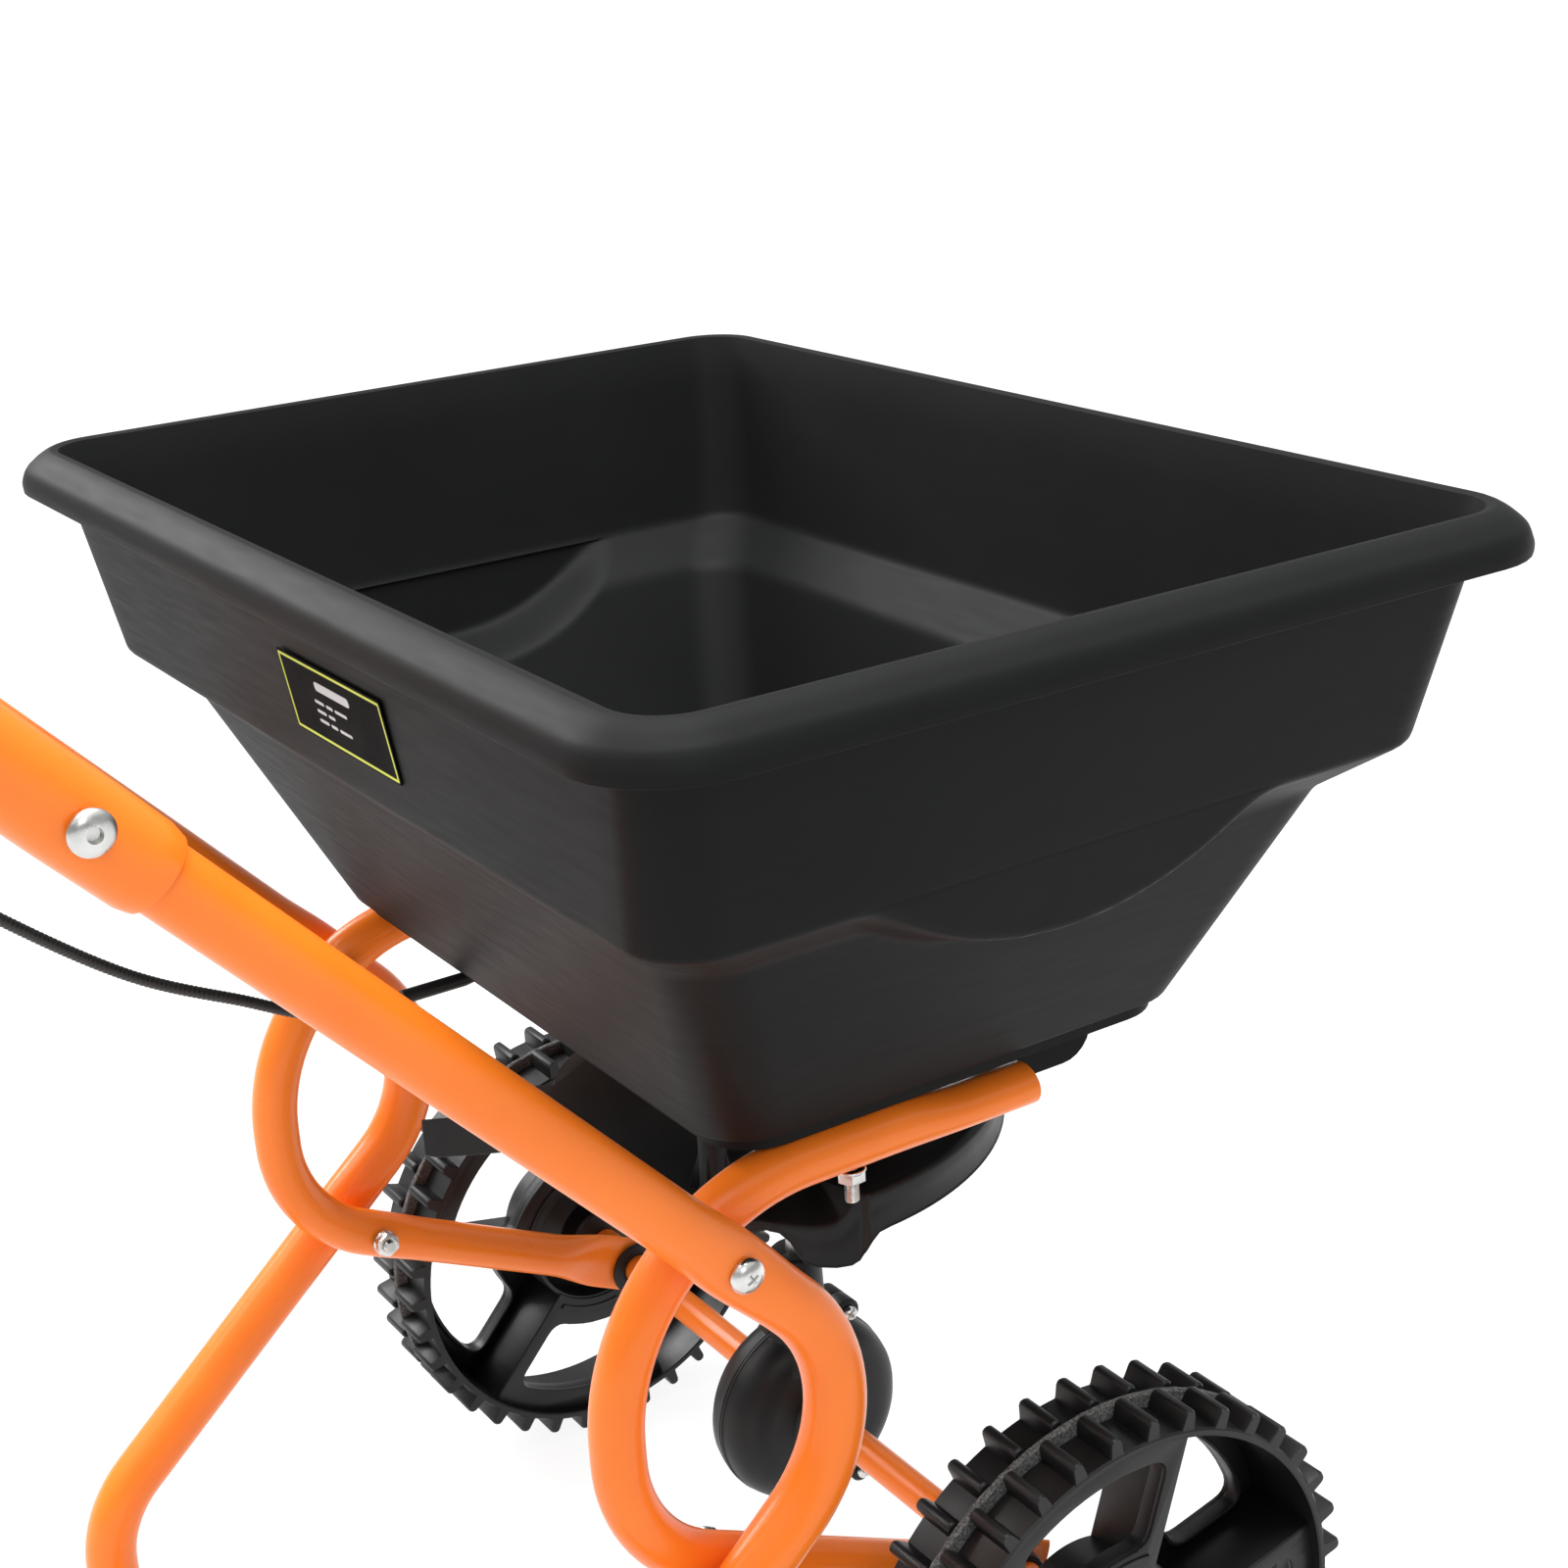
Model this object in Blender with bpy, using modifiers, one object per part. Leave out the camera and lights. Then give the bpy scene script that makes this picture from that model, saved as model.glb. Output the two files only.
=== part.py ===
"""Push-behind rotary garden spreader, modelled as an assembly of separate parts.

Metres, +Z up, +Y is the direction of travel, +X the operator's right.
Z = 0 is the ground. The parts are laid out with Y = 0 under the middle of the
hopper, and one empty carries them all to the part's origin.
"""
import bpy
import bmesh
import math
from mathutils import Matrix, Vector

# ---- driving dimensions ------------------------------------------------------
ORIGIN_Y = 0.2729              # moves the parts so that the bounding box is centred
GAP = 0.0003                   # clearance between touching pieces

RIM_Z = 0.590                  # top of the hopper rim
RIM_HALF_X = 0.2766            # inner edge of the rim
RIM_HALF_Y = 0.1890
RIM_CORNER = 0.021
BAND_HALF_X = 0.2570           # outer wall at the ledge
BAND_HALF_Y = 0.1780
LEDGE_Z = 0.495
HOPPER_FLOOR_Z = 0.3666        # underside of the hopper
HOPPER_WALL = 0.0030
OUTLET_HALF_X = 0.060
OUTLET_HALF_Y = 0.050

AXLE_Y = 0.028
AXLE_Z = 0.117
AXLE_RADIUS = 0.0079
AXLE_HALF = 0.2590
SHAFT_Y = 0.028                # vertical drive shaft
SHAFT_RADIUS = 0.0047

FRAME_X = 0.1915               # centre plane of the handle and leg tubes
FRAME_RADIUS = 0.0127
SUPPORT_X = 0.1655             # centre plane of the hopper support tubes
SUPPORT_RADIUS = 0.0111
HANDLE_RADIUS = 0.0159
HANDLE_ANGLE = math.radians(47.06)
SLEEVE_MOUTH = (-0.3165, 0.5490)   # Y, Z of the lower end of the upper handle
SLEEVE_DEPTH = 0.070
SLEEVE_BOLT_S = 0.0320          # the sleeve bolt, from the sleeve mouth
HANDLE_LENGTH = 0.611
HANDLE_CORNER = 0.085

WHEEL_IN = 0.2000              # inner and outer face of a wheel
WHEEL_OUT = 0.2480
WHEEL_TIP = 0.1170
WHEEL_RIM = 0.1085
WHEEL_BORE = 0.0082
CLEATS = 36
ROW_OVERLAP = 0.0004             # lets the two rows of cleats join

GEAR_TEETH = 38
PINION_TEETH = 9
IMPELLER_Z = 0.2780
IMPELLER_RADIUS = 0.080
SHROUD_Z = 0.3085               # underside of the shroud's plate
SHROUD_RADIUS = 0.1395
SHROUD_Y = -0.0190

BRACE_S = 0.455                # distance of the brace up the handle from the sleeve mouth
LEVER_TRAVEL = 0.90            # radians
SHUTTER_TRAVEL = 0.040

UP_HANDLE = Vector((0.0, -math.cos(HANDLE_ANGLE), math.sin(HANDLE_ANGLE)))
OVER_HANDLE = Vector((0.0, math.sin(HANDLE_ANGLE), math.cos(HANDLE_ANGLE)))

# ---- scene set-up -------------------------------------------------------------


def clear_scene():
    for obj in list(bpy.data.objects):
        bpy.data.objects.remove(obj, do_unlink=True)


def new_collection(name):
    collection = bpy.data.collections.new(name)
    bpy.context.scene.collection.children.link(collection)
    return collection


clear_scene()
PARTS = new_collection("garden_spreader")
CUTTERS = new_collection("cutters")
ORIGIN = bpy.data.objects.new("spreader_origin", None)
PARTS.objects.link(ORIGIN)
ORIGIN.location = (0.0, ORIGIN_Y, 0.0)

# ---- materials ----------------------------------------------------------------


def material(name, colour, roughness, metallic=0.0):
    mat = bpy.data.materials.new(name)
    mat.use_nodes = True
    shader = mat.node_tree.nodes["Principled BSDF"]
    shader.inputs["Base Color"].default_value = (*colour, 1.0)
    shader.inputs["Roughness"].default_value = roughness
    shader.inputs["Metallic"].default_value = metallic
    mat.diffuse_color = (*colour, 1.0)
    return mat


ORANGE = material("orange_powder_coat", (0.90, 0.20, 0.02), 0.28)
HOPPER_BLACK = material("hopper_plastic", (0.028, 0.028, 0.028), 0.45)
WHEEL_BLACK = material("wheel_plastic", (0.010, 0.010, 0.011), 0.42)
SHROUD_BLACK = material("shroud_plastic", (0.014, 0.014, 0.014), 0.45)
ZINC = material("zinc_plate", (0.62, 0.62, 0.60), 0.30, 1.0)
STEEL = material("bright_steel", (0.50, 0.50, 0.50), 0.35, 1.0)
RUBBER = material("grip_rubber", (0.012, 0.012, 0.012), 0.80)
CABLE_BLACK = material("cable_sheath", (0.010, 0.010, 0.010), 0.50)
PLATE_FACE = material("plate_face", (0.012, 0.012, 0.012), 0.35)
NYLON = material("natural_nylon", (0.62, 0.60, 0.52), 0.50)

# ---- modelling helpers --------------------------------------------------------


def finish(obj, mat, parent=None, smooth=True):
    """Give a part its material, its place in the tree and its shading."""
    obj.data.materials.clear()
    obj.data.materials.append(mat)
    obj.parent = parent or ORIGIN
    if smooth and obj.type == "MESH":
        obj.data.shade_smooth()
        obj.data.set_sharp_from_angle(angle=math.radians(32))
    return obj


def link(name, data, cutter=False):
    obj = bpy.data.objects.new(name, data)
    (CUTTERS if cutter else PARTS).objects.link(obj)
    if cutter:
        obj.hide_render = True
        obj.display_type = "WIRE"
    return obj


def mesh_object(name, bm, cutter=False):
    bmesh.ops.recalc_face_normals(bm, faces=bm.faces)
    mesh = bpy.data.meshes.new(name)
    bm.to_mesh(mesh)
    bm.free()
    return link(name, mesh, cutter)


def axis_matrix(centre, axis):
    """Matrix that takes local Z to the named axis (a letter or a vector)."""
    letters = {"X": Vector((1, 0, 0)), "Y": Vector((0, 1, 0)), "Z": Vector((0, 0, 1))}
    direction = letters.get(axis, axis) if isinstance(axis, str) else axis
    turn = Vector((0, 0, 1)).rotation_difference(direction).to_matrix().to_4x4()
    return Matrix.Translation(Vector(centre)) @ turn


def side_matrix(x):
    """Matrix that stands a flat (Y, Z) outline in the plane at the given X."""
    turn = Matrix(((0, 0, 1, 0), (1, 0, 0, 0), (0, 1, 0, 0), (0, 0, 0, 1)))
    return Matrix.Translation((x, 0, 0)) @ turn


def cylinder(name, centre, axis, radius, length, sides=24, radius_2=None, cutter=False):
    bm = bmesh.new()
    bmesh.ops.create_cone(bm, cap_ends=True, segments=sides, radius1=radius,
                          radius2=radius if radius_2 is None else radius_2, depth=length,
                          matrix=axis_matrix(centre, axis))
    return mesh_object(name, bm, cutter)


def box(name, low, high, cutter=False):
    bm = bmesh.new()
    size = Vector(high) - Vector(low)
    middle = (Vector(high) + Vector(low)) / 2
    bmesh.ops.create_cube(bm, size=1.0, matrix=Matrix.Translation(middle) @ Matrix.Diagonal((*size, 1.0)))
    return mesh_object(name, bm, cutter)


def turned(name, profile, centre, axis, sides=32, cutter=False):
    """Turn a closed (radius, height) profile about an axis, with a Screw modifier."""
    bm = bmesh.new()
    points = [bm.verts.new((radius, 0.0, height)) for radius, height in profile]
    on_axis = profile[0][0] < 1e-6 and profile[-1][0] < 1e-6
    pairs = list(zip(points, points[1:]))
    if not on_axis:
        pairs.append((points[-1], points[0]))
    for first, second in pairs:
        bm.edges.new((first, second))
    mesh = bpy.data.meshes.new(name)
    bm.to_mesh(mesh)
    bm.free()
    obj = link(name, mesh, cutter)
    screw = obj.modifiers.new("turn", "SCREW")
    screw.steps = sides
    screw.render_steps = sides
    screw.use_merge_vertices = True
    screw.merge_threshold = 0.00005
    screw.use_normal_calculate = True
    made = bake(obj)
    made.data.transform(axis_matrix(centre, axis))
    return made


def bake(obj):
    """Replace an object's mesh by its evaluated mesh, welded and facing out."""
    graph = bpy.context.evaluated_depsgraph_get()
    mesh = bpy.data.meshes.new_from_object(obj.evaluated_get(graph))
    bm = bmesh.new()
    bm.from_mesh(mesh)
    bmesh.ops.remove_doubles(bm, verts=bm.verts, dist=0.00002)
    bmesh.ops.recalc_face_normals(bm, faces=bm.faces)
    bm.to_mesh(mesh)
    bm.free()
    name = obj.name
    collection = obj.users_collection[0]
    hidden = obj.hide_render
    bpy.data.objects.remove(obj, do_unlink=True)
    made = bpy.data.objects.new(name, mesh)
    collection.objects.link(made)
    if hidden:
        made.hide_render = True
        made.display_type = "WIRE"
    return made


def fillet_path(corners, radii, step=math.radians(15)):
    """Points of a path through the corners, each corner rounded by its radius."""
    points = [Vector(corners[0])]
    for before, corner, after, radius in zip(corners, corners[1:], corners[2:], radii):
        before, corner, after = Vector(before), Vector(corner), Vector(after)
        into = (corner - before).normalized()
        out = (after - corner).normalized()
        turn = into.angle(out)
        reach = radius * math.tan(turn / 2)
        start = corner - into * reach
        normal = into.cross(out).normalized()
        centre = start + normal.cross(into) * radius
        count = max(3, round(turn / step))
        for k in range(count + 1):
            spin = Matrix.Rotation(turn * k / count, 3, normal)
            points.append(centre + spin @ (start - centre))
    points.append(Vector(corners[-1]))
    return points


def tube(name, points, radius, resolution=3):
    """A round tube along the points, as a mesh with welded end caps."""
    curve = bpy.data.curves.new(name, "CURVE")
    curve.dimensions = "3D"
    curve.bevel_depth = radius
    curve.bevel_resolution = resolution
    curve.use_fill_caps = True
    spline = curve.splines.new("POLY")
    spline.points.add(len(points) - 1)
    for target, point in zip(spline.points, points):
        target.co = (*point, 1.0)
    return bake(link(name, curve))


def outline(name, loops, thickness, matrix, cutter=False):
    """A flat plate from closed 2D loops (the first is the outside), centred on its plane."""
    curve = bpy.data.curves.new(name, "CURVE")
    curve.dimensions = "2D"
    curve.fill_mode = "BOTH"
    curve.extrude = thickness / 2
    for loop in loops:
        spline = curve.splines.new("POLY")
        spline.points.add(len(loop) - 1)
        spline.use_cyclic_u = True
        for target, (u, v) in zip(spline.points, loop):
            target.co = (u, v, 0.0, 1.0)
    obj = bake(link(name, curve, cutter))
    obj.data.transform(matrix)
    return obj


def boolean(obj, other, operation="DIFFERENCE"):
    """Apply one exact Boolean and drop the other body."""
    modifier = obj.modifiers.new("cut", "BOOLEAN")
    modifier.operation = operation
    modifier.solver = "EXACT"
    modifier.object = other
    bpy.context.view_layer.update()
    made = bake(obj)
    bpy.data.objects.remove(other, do_unlink=True)
    return made


def bore(obj, centre, axis, radius, length, sides=16):
    return boolean(obj, cylinder("bore", centre, axis, radius, length, sides, cutter=True))


def circle(radius, count=24, centre=(0.0, 0.0), start=0.0, sweep=2 * math.pi):
    """Points on a circle, or on an arc when the sweep is less than a full turn."""
    steps = count if abs(sweep - 2 * math.pi) < 1e-9 else count - 1
    return [(centre[0] + radius * math.cos(start + sweep * k / steps),
             centre[1] + radius * math.sin(start + sweep * k / steps)) for k in range(count)]


def rounded_rectangle(half_x, half_y, corner, z, segments=4, centre_y=0.0):
    ring = []
    for quarter in range(4):
        sx = (1, -1, -1, 1)[quarter]
        sy = (1, 1, -1, -1)[quarter]
        for k in range(segments + 1):
            angle = (quarter + k / segments) * math.pi / 2
            ring.append(Vector((sx * (half_x - corner) + corner * math.cos(angle),
                                centre_y + sy * (half_y - corner) + corner * math.sin(angle), z)))
    return ring


def loft(name, rings, closed_ends=True):
    bm = bmesh.new()
    rows = [[bm.verts.new(point) for point in ring] for ring in rings]
    for lower, upper in zip(rows, rows[1:]):
        for k in range(len(lower)):
            following = (k + 1) % len(lower)
            bm.faces.new((lower[k], lower[following], upper[following], upper[k]))
    if closed_ends:
        bm.faces.new(list(reversed(rows[0])))
        bm.faces.new(rows[-1])
    return mesh_object(name, bm)


def mirrored_x(obj, name, mat):
    """A second object that is the first one's mirror image in X."""
    mesh = obj.data.copy()
    mesh.transform(Matrix.Diagonal((-1.0, 1.0, 1.0, 1.0)))
    mesh.flip_normals()
    return finish(link(name, mesh), mat)


def empty(name, location, parent=None):
    obj = bpy.data.objects.new(name, None)
    PARTS.objects.link(obj)
    obj.parent = parent or ORIGIN
    obj.location = location
    return obj


def carry(obj, joint):
    """Hang a part on a joint's empty without moving it."""
    obj.data.transform(Matrix.Translation(-Vector(joint.location)))
    obj.parent = joint
    return obj


def on_handle(along, over=0.0, x=0.0):
    """A point near the upper handle: along it from the sleeve mouth, and square above it."""
    return Vector((x, *SLEEVE_MOUTH)) + UP_HANDLE * along + OVER_HANDLE * over


# ---- hopper -------------------------------------------------------------------
# Inner surface from the outlet up: half width in X, half depth in Y, centre in Y,
# corner radius, height.
HOPPER_BED_Z = HOPPER_FLOOR_Z + HOPPER_WALL
HOPPER_LEVELS = [
    (OUTLET_HALF_X, OUTLET_HALF_Y, 0.010, 0.012, HOPPER_BED_Z),
    (0.1660, 0.1065, 0.0065, 0.020, HOPPER_BED_Z),
    (0.1680, 0.1090, 0.0065, 0.022, HOPPER_BED_Z + 0.0025),
    (0.1683, 0.1095, 0.0065, 0.022, 0.3785),
    (0.1720, 0.1150, 0.0065, 0.023, 0.3815),
    (0.2280, 0.1520, 0.0000, 0.024, 0.4775),
    (BAND_HALF_X - HOPPER_WALL, BAND_HALF_Y - HOPPER_WALL, 0.0000, 0.025, LEDGE_Z + 0.0015),
    (0.2660, 0.1830, 0.0000, 0.024, 0.5500),
    (RIM_HALF_X - 0.0005, RIM_HALF_Y - 0.0005, 0.0000, 0.022, 0.5855),
]
# Rolled rim: distance outside the rim's inner edge, and height below its top.
RIM_CURL = [(0.0045, 0.0000), (0.0100, 0.0010), (0.0150, 0.0048), (0.0182, 0.0105),
            (0.0190, 0.0150), (0.0180, 0.0190)]


def make_hopper():
    rings = [rounded_rectangle(hx, hy, corner, z, centre_y=cy) for hx, hy, cy, corner, z in HOPPER_LEVELS]
    for out, drop in RIM_CURL:
        rings.append(rounded_rectangle(RIM_HALF_X + out, RIM_HALF_Y + out, RIM_CORNER + out, RIM_Z - drop))
    obj = loft("hopper", rings, closed_ends=False)
    shell = obj.modifiers.new("wall", "SOLIDIFY")
    shell.thickness = HOPPER_WALL
    shell.offset = -1.0
    shell.use_even_offset = True
    return finish(bake(obj), HOPPER_BLACK)


def make_rating_plate():
    lean = math.atan2(0.0080, 0.055)
    matrix = (Matrix.Translation((0.028, -(BAND_HALF_Y + 0.0060), 0.5295))
              @ Matrix.Rotation(math.pi / 2 + lean, 4, "X"))
    loop = [(-0.048, -0.018), (0.048, -0.018), (0.048, 0.018), (-0.048, 0.018)]
    return finish(outline("rating_plate", [loop], 0.0008, matrix), PLATE_FACE)


# ---- frame --------------------------------------------------------------------
SUPPORT_TOP_Z = 0.3550
SUPPORT_CORNERS = [(0.043, SUPPORT_TOP_Z), (-0.162, SUPPORT_TOP_Z), (-0.162, 0.2118), (0.0415, 0.1102)]
FRAME_CORNERS = [(-0.3565, 0.5920), (-0.0494, 0.2620), (-0.2680, 0.0702), (-0.2680, 0.0040)]
UPPER_CROSS = (-0.1215, 0.3395)
LOWER_CROSS = (-0.1180, 0.1900)
HOPPER_STUD_Y = -0.048


def in_plane(x, corners):
    return [(x, y, z) for y, z in corners]


def flatten_end(obj, centre, direction, reach=0.030, thickness=0.0058, spread=1.38):
    """Squash a tube's end into a flat tab in the YZ plane."""
    across = Vector((0.0, -direction.z, direction.y))
    for vertex in obj.data.vertices:
        offset = vertex.co - centre
        along = offset.dot(direction)
        blend = min(1.0, max(0.0, (along + reach + 0.020) / reach))
        blend = blend * blend * (3 - 2 * blend)
        squash = 1 + (thickness / 2 / SUPPORT_RADIUS - 1) * blend
        vertex.co.x = centre.x + offset.x * squash
        side = offset.dot(across)
        vertex.co += across * side * (spread - 1) * blend
    return obj


def make_support_tube():
    points = fillet_path(in_plane(SUPPORT_X, SUPPORT_CORNERS), (0.092, 0.070))
    end = points.pop()
    start = points[-1]
    points += [start.lerp(end, k / 9) for k in range(1, 10)]
    obj = tube("right_support_tube", points, SUPPORT_RADIUS)
    centre = Vector((SUPPORT_X, AXLE_Y, AXLE_Z))
    obj = flatten_end(obj, centre, (end - start).normalized())
    obj = bore(obj, centre, "X", 0.0112, 0.030)
    for y, z in (UPPER_CROSS, LOWER_CROSS):
        obj = bore(obj, (SUPPORT_X, y, z), "X", 0.0034, 0.060)
    obj = bore(obj, (SUPPORT_X, HOPPER_STUD_Y, SUPPORT_TOP_Z), "Z", 0.0034, 0.060, 12)
    finish(obj, ORANGE)
    mirrored_x(obj, "left_support_tube", ORANGE)


def make_frame_tube():
    points = fillet_path(in_plane(FRAME_X, FRAME_CORNERS), (0.066, 0.060))
    obj = tube("right_frame_tube", points, FRAME_RADIUS)
    for y, z in (UPPER_CROSS, LOWER_CROSS):
        obj = bore(obj, (FRAME_X, y, z), "X", 0.0034, 0.060)
    sleeve_bolt = on_handle(SLEEVE_BOLT_S)
    obj = bore(obj, (FRAME_X, sleeve_bolt.y, sleeve_bolt.z), "X", 0.0034, 0.060)
    finish(obj, ORANGE)
    mirrored_x(obj, "left_frame_tube", ORANGE)


def make_upper_handle():
    low = on_handle(0.0)
    top = on_handle(HANDLE_LENGTH)
    corners = [(FRAME_X, low.y, low.z), (FRAME_X, top.y, top.z),
               (-FRAME_X, top.y, top.z), (-FRAME_X, low.y, low.z)]
    points = fillet_path(corners, (HANDLE_CORNER, HANDLE_CORNER), math.radians(11))
    obj = tube("upper_handle", points, HANDLE_RADIUS)
    for side in (1, -1):
        mouth = on_handle(SLEEVE_DEPTH / 2 - 0.002, x=side * FRAME_X)
        obj = bore(obj, mouth, UP_HANDLE, FRAME_RADIUS + 0.0006, SLEEVE_DEPTH + 0.004, 16)
        bolt = on_handle(SLEEVE_BOLT_S, x=side * FRAME_X)
        obj = bore(obj, bolt, "X", 0.0034, 0.060)
    return finish(obj, ORANGE)


def make_stand():
    half = FRAME_X - FRAME_RADIUS - GAP * 2
    y = FRAME_CORNERS[-1][0]
    bar = cylinder("stand_crossbar", (0, y, 0.030), "X", 0.0085, 2 * half, 16)
    finish(bar, ORANGE)
    for side, name in ((1, "right"), (-1, "left")):
        profile = [(0.0, 0.0), (0.0155, 0.0), (0.0170, 0.0015), (0.0165, 0.0200), (0.0133, 0.0200),
                   (0.0133, 0.0036), (0.0, 0.0036)]
        cap = turned(name + "_foot_cap", list(reversed(profile)), (side * FRAME_X, y, 0.0), "Z", 16)
        finish(cap, RUBBER)


def make_grips():
    top = on_handle(HANDLE_LENGTH)
    span = FRAME_X - HANDLE_CORNER
    for side, name in ((1, "right"), (-1, "left")):
        inner, outer = 0.004, span - 0.002
        profile = [(0.0163, inner), (0.0205, inner), (0.0210, inner + 0.004), (0.0198, 0.035),
                   (0.0206, 0.060), (0.0210, outer - 0.004), (0.0200, outer), (0.0163, outer)]
        grip = turned(name + "_grip", profile[::-1], (0, top.y, top.z), Vector((side, 0, 0)), 16)
        finish(grip, RUBBER)


# ---- fasteners ----------------------------------------------------------------


def truss_bolt(name, head_point, axis, length, shank=0.0030, head=0.0074, mat=None):
    """Round-headed bolt: the underside of its head is at head_point, shank along -axis."""
    profile = [(0.0, 0.0038), (head * 0.60, 0.0030), (head, 0.0004), (head, 0.0),
               (shank, 0.0), (shank, -length), (0.0, -length)]
    return finish(turned(name, profile, head_point, axis, 12), mat or ZINC)


def hex_nut(name, face_point, axis, across=0.0110, height=0.0055, hole=0.0033):
    """Nut whose bearing face is at face_point, its body along +axis."""
    matrix = axis_matrix(Vector(face_point) + Vector(axis) * height / 2, Vector(axis))
    flats = circle(across / 2 / math.cos(math.pi / 6), 6)
    nut = outline(name, [flats, circle(hole, 12)[::-1]], height, matrix)
    return finish(nut, ZINC)


def make_crossing_fasteners():
    outside = FRAME_X + FRAME_RADIUS + GAP
    inside = SUPPORT_X - SUPPORT_RADIUS - GAP
    for side, name in ((1, "right"), (-1, "left")):
        for level, (y, z) in (("upper", UPPER_CROSS), ("lower", LOWER_CROSS)):
            truss_bolt(f"{name}_{level}_cross_bolt", (side * outside, y, z), Vector((side, 0, 0)),
                       outside - inside + 0.0080)
            hex_nut(f"{name}_{level}_cross_nut", (side * inside, y, z), Vector((-side, 0, 0)))
        bolt = on_handle(SLEEVE_BOLT_S, x=side * (FRAME_X + HANDLE_RADIUS + GAP))
        truss_bolt(f"{name}_sleeve_bolt", bolt, Vector((side, 0, 0)), 2 * HANDLE_RADIUS + 0.004, head=0.0080)


def make_hopper_fasteners():
    """Studs moulded into the hopper floor, through the support tubes, with a nut below."""
    low = SUPPORT_TOP_Z - SUPPORT_RADIUS - GAP
    top = HOPPER_FLOOR_Z - GAP
    for side, name in ((1, "right"), (-1, "left")):
        centre = (side * SUPPORT_X, HOPPER_STUD_Y, (top + low - 0.0150) / 2)
        stud = cylinder(f"{name}_hopper_stud", centre, "Z", 0.0030, top - low + 0.0150, 12)
        finish(stud, ZINC)
        hex_nut(f"{name}_hopper_nut", (side * SUPPORT_X, HOPPER_STUD_Y, low), Vector((0, 0, -1)))


# ---- axle, wheels and gearbox ---------------------------------------------------


def gear_outline(teeth, tip, root, points_each=4, shift=0.0):
    """Straight-sided teeth around a circle, pointed (3 points each) or flat-topped (4)."""
    shape = [(root, -0.30), (tip, -0.14), (tip, 0.14), (root, 0.30)]
    if points_each == 3:
        shape = [(root, -0.22), (tip, 0.0), (root, 0.22)]
    pitch = 2 * math.pi / teeth
    spots = [(radius, (tooth + shift + offset) * pitch) for tooth in range(teeth) for radius, offset in shape]
    return [(radius * math.cos(turn), radius * math.sin(turn)) for radius, turn in spots]


def wheel_sector(name, start, plane):
    """One web plate: a sector between hub and rim, with a rounded opening through it."""
    inner, outer = 0.0360, 0.1045
    sweep = math.radians(60)
    edge = 0.010
    loop = circle(outer, 7, start=start, sweep=sweep) + circle(inner, 5, start=start + sweep, sweep=-sweep)
    low, high = 0.050, 0.090
    window = (circle(high, 6, start=start + edge / high * 1.6, sweep=sweep - edge / high * 3.2)
              + circle(low, 4, start=start + sweep - edge / low * 1.2, sweep=-(sweep - edge / low * 2.4)))
    return outline(name, [loop, window[::-1]], 0.0030, axis_matrix((plane, AXLE_Y, AXLE_Z), "X"))


def make_wheel():
    middle = (WHEEL_IN + WHEEL_OUT) / 2
    half = (WHEEL_OUT - WHEEL_IN) / 2
    rows = []
    for row, shift in ((-1, 0.0), (1, 0.5)):
        loops = [gear_outline(CLEATS, WHEEL_TIP, WHEEL_RIM, 3, shift), circle(0.1040, 24)[::-1]]
        matrix = axis_matrix((middle + row * half / 2, AXLE_Y, AXLE_Z), "X")
        rows.append(outline("right_wheel", loops, half + ROW_OVERLAP, matrix))
    wheel = boolean(rows[0], rows[1], "UNION")
    hub = [(0.0210, -0.004), (0.0210, 0.012), (0.0380, 0.016), (0.0380, 0.032), (0.0210, 0.036),
           (0.0210, 0.0520), (WHEEL_BORE, 0.0520), (WHEEL_BORE, -0.004)]
    wheel = boolean(wheel, turned("hub", hub[::-1], (WHEEL_IN, AXLE_Y, AXLE_Z), "X", 16), "UNION")
    for k in range(6):
        start = math.radians(60 * k + 12)
        plane = WHEEL_OUT - 0.0065 if k % 2 else WHEEL_IN + 0.0065
        wheel = boolean(wheel, wheel_sector("sector", start, plane), "UNION")
        spoke = box("spoke", (0.0365, -0.0015, WHEEL_IN + 0.0055), (0.1045, 0.0015, WHEEL_OUT - 0.0055))
        spoke.data.transform(Matrix.Rotation(start, 4, "Z"))
        spoke.data.transform(axis_matrix((0.0, AXLE_Y, AXLE_Z), "X"))
        wheel = boolean(wheel, spoke, "UNION")
    wheel.data.transform(Matrix.Translation((0.0, -AXLE_Y, -AXLE_Z)))
    return wheel


def make_axle_group(axle_joint, free_joint):
    axle = cylinder("axle", (0, AXLE_Y, AXLE_Z), "X", AXLE_RADIUS, 2 * AXLE_HALF, 20)
    for side in (1, -1):
        axle = bore(axle, (side * 0.2550, AXLE_Y, AXLE_Z), "Z", 0.0017, 0.030, 12)
    carry(finish(axle, ORANGE), axle_joint)

    wheel = make_wheel()
    wheel.parent = axle_joint
    finish(wheel, WHEEL_BLACK, axle_joint)
    left_mesh = wheel.data.copy()
    left_mesh.transform(Matrix.Rotation(math.pi, 4, "Z"))
    left = link("left_wheel", left_mesh)
    finish(left, WHEEL_BLACK, free_joint)

    for side, name in ((1, "right"), (-1, "left")):
        pin = make_cotter_pin(f"{name}_cotter_pin", side * 0.2550)
        carry(finish(pin, ZINC), axle_joint)


def make_cotter_pin(name, x):
    """Hairpin clip through the axle, its eye above."""
    eye = [(x, AXLE_Y + 0.0030 * math.sin(a), AXLE_Z + 0.0135 - 0.0030 * math.cos(a))
           for a in (math.radians(40 * k) for k in range(9))]
    leg = [(x, AXLE_Y, AXLE_Z - 0.0140), (x, AXLE_Y, AXLE_Z + 0.0080)]
    return tube(name, leg + eye[1:8], 0.0013, 2)


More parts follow.
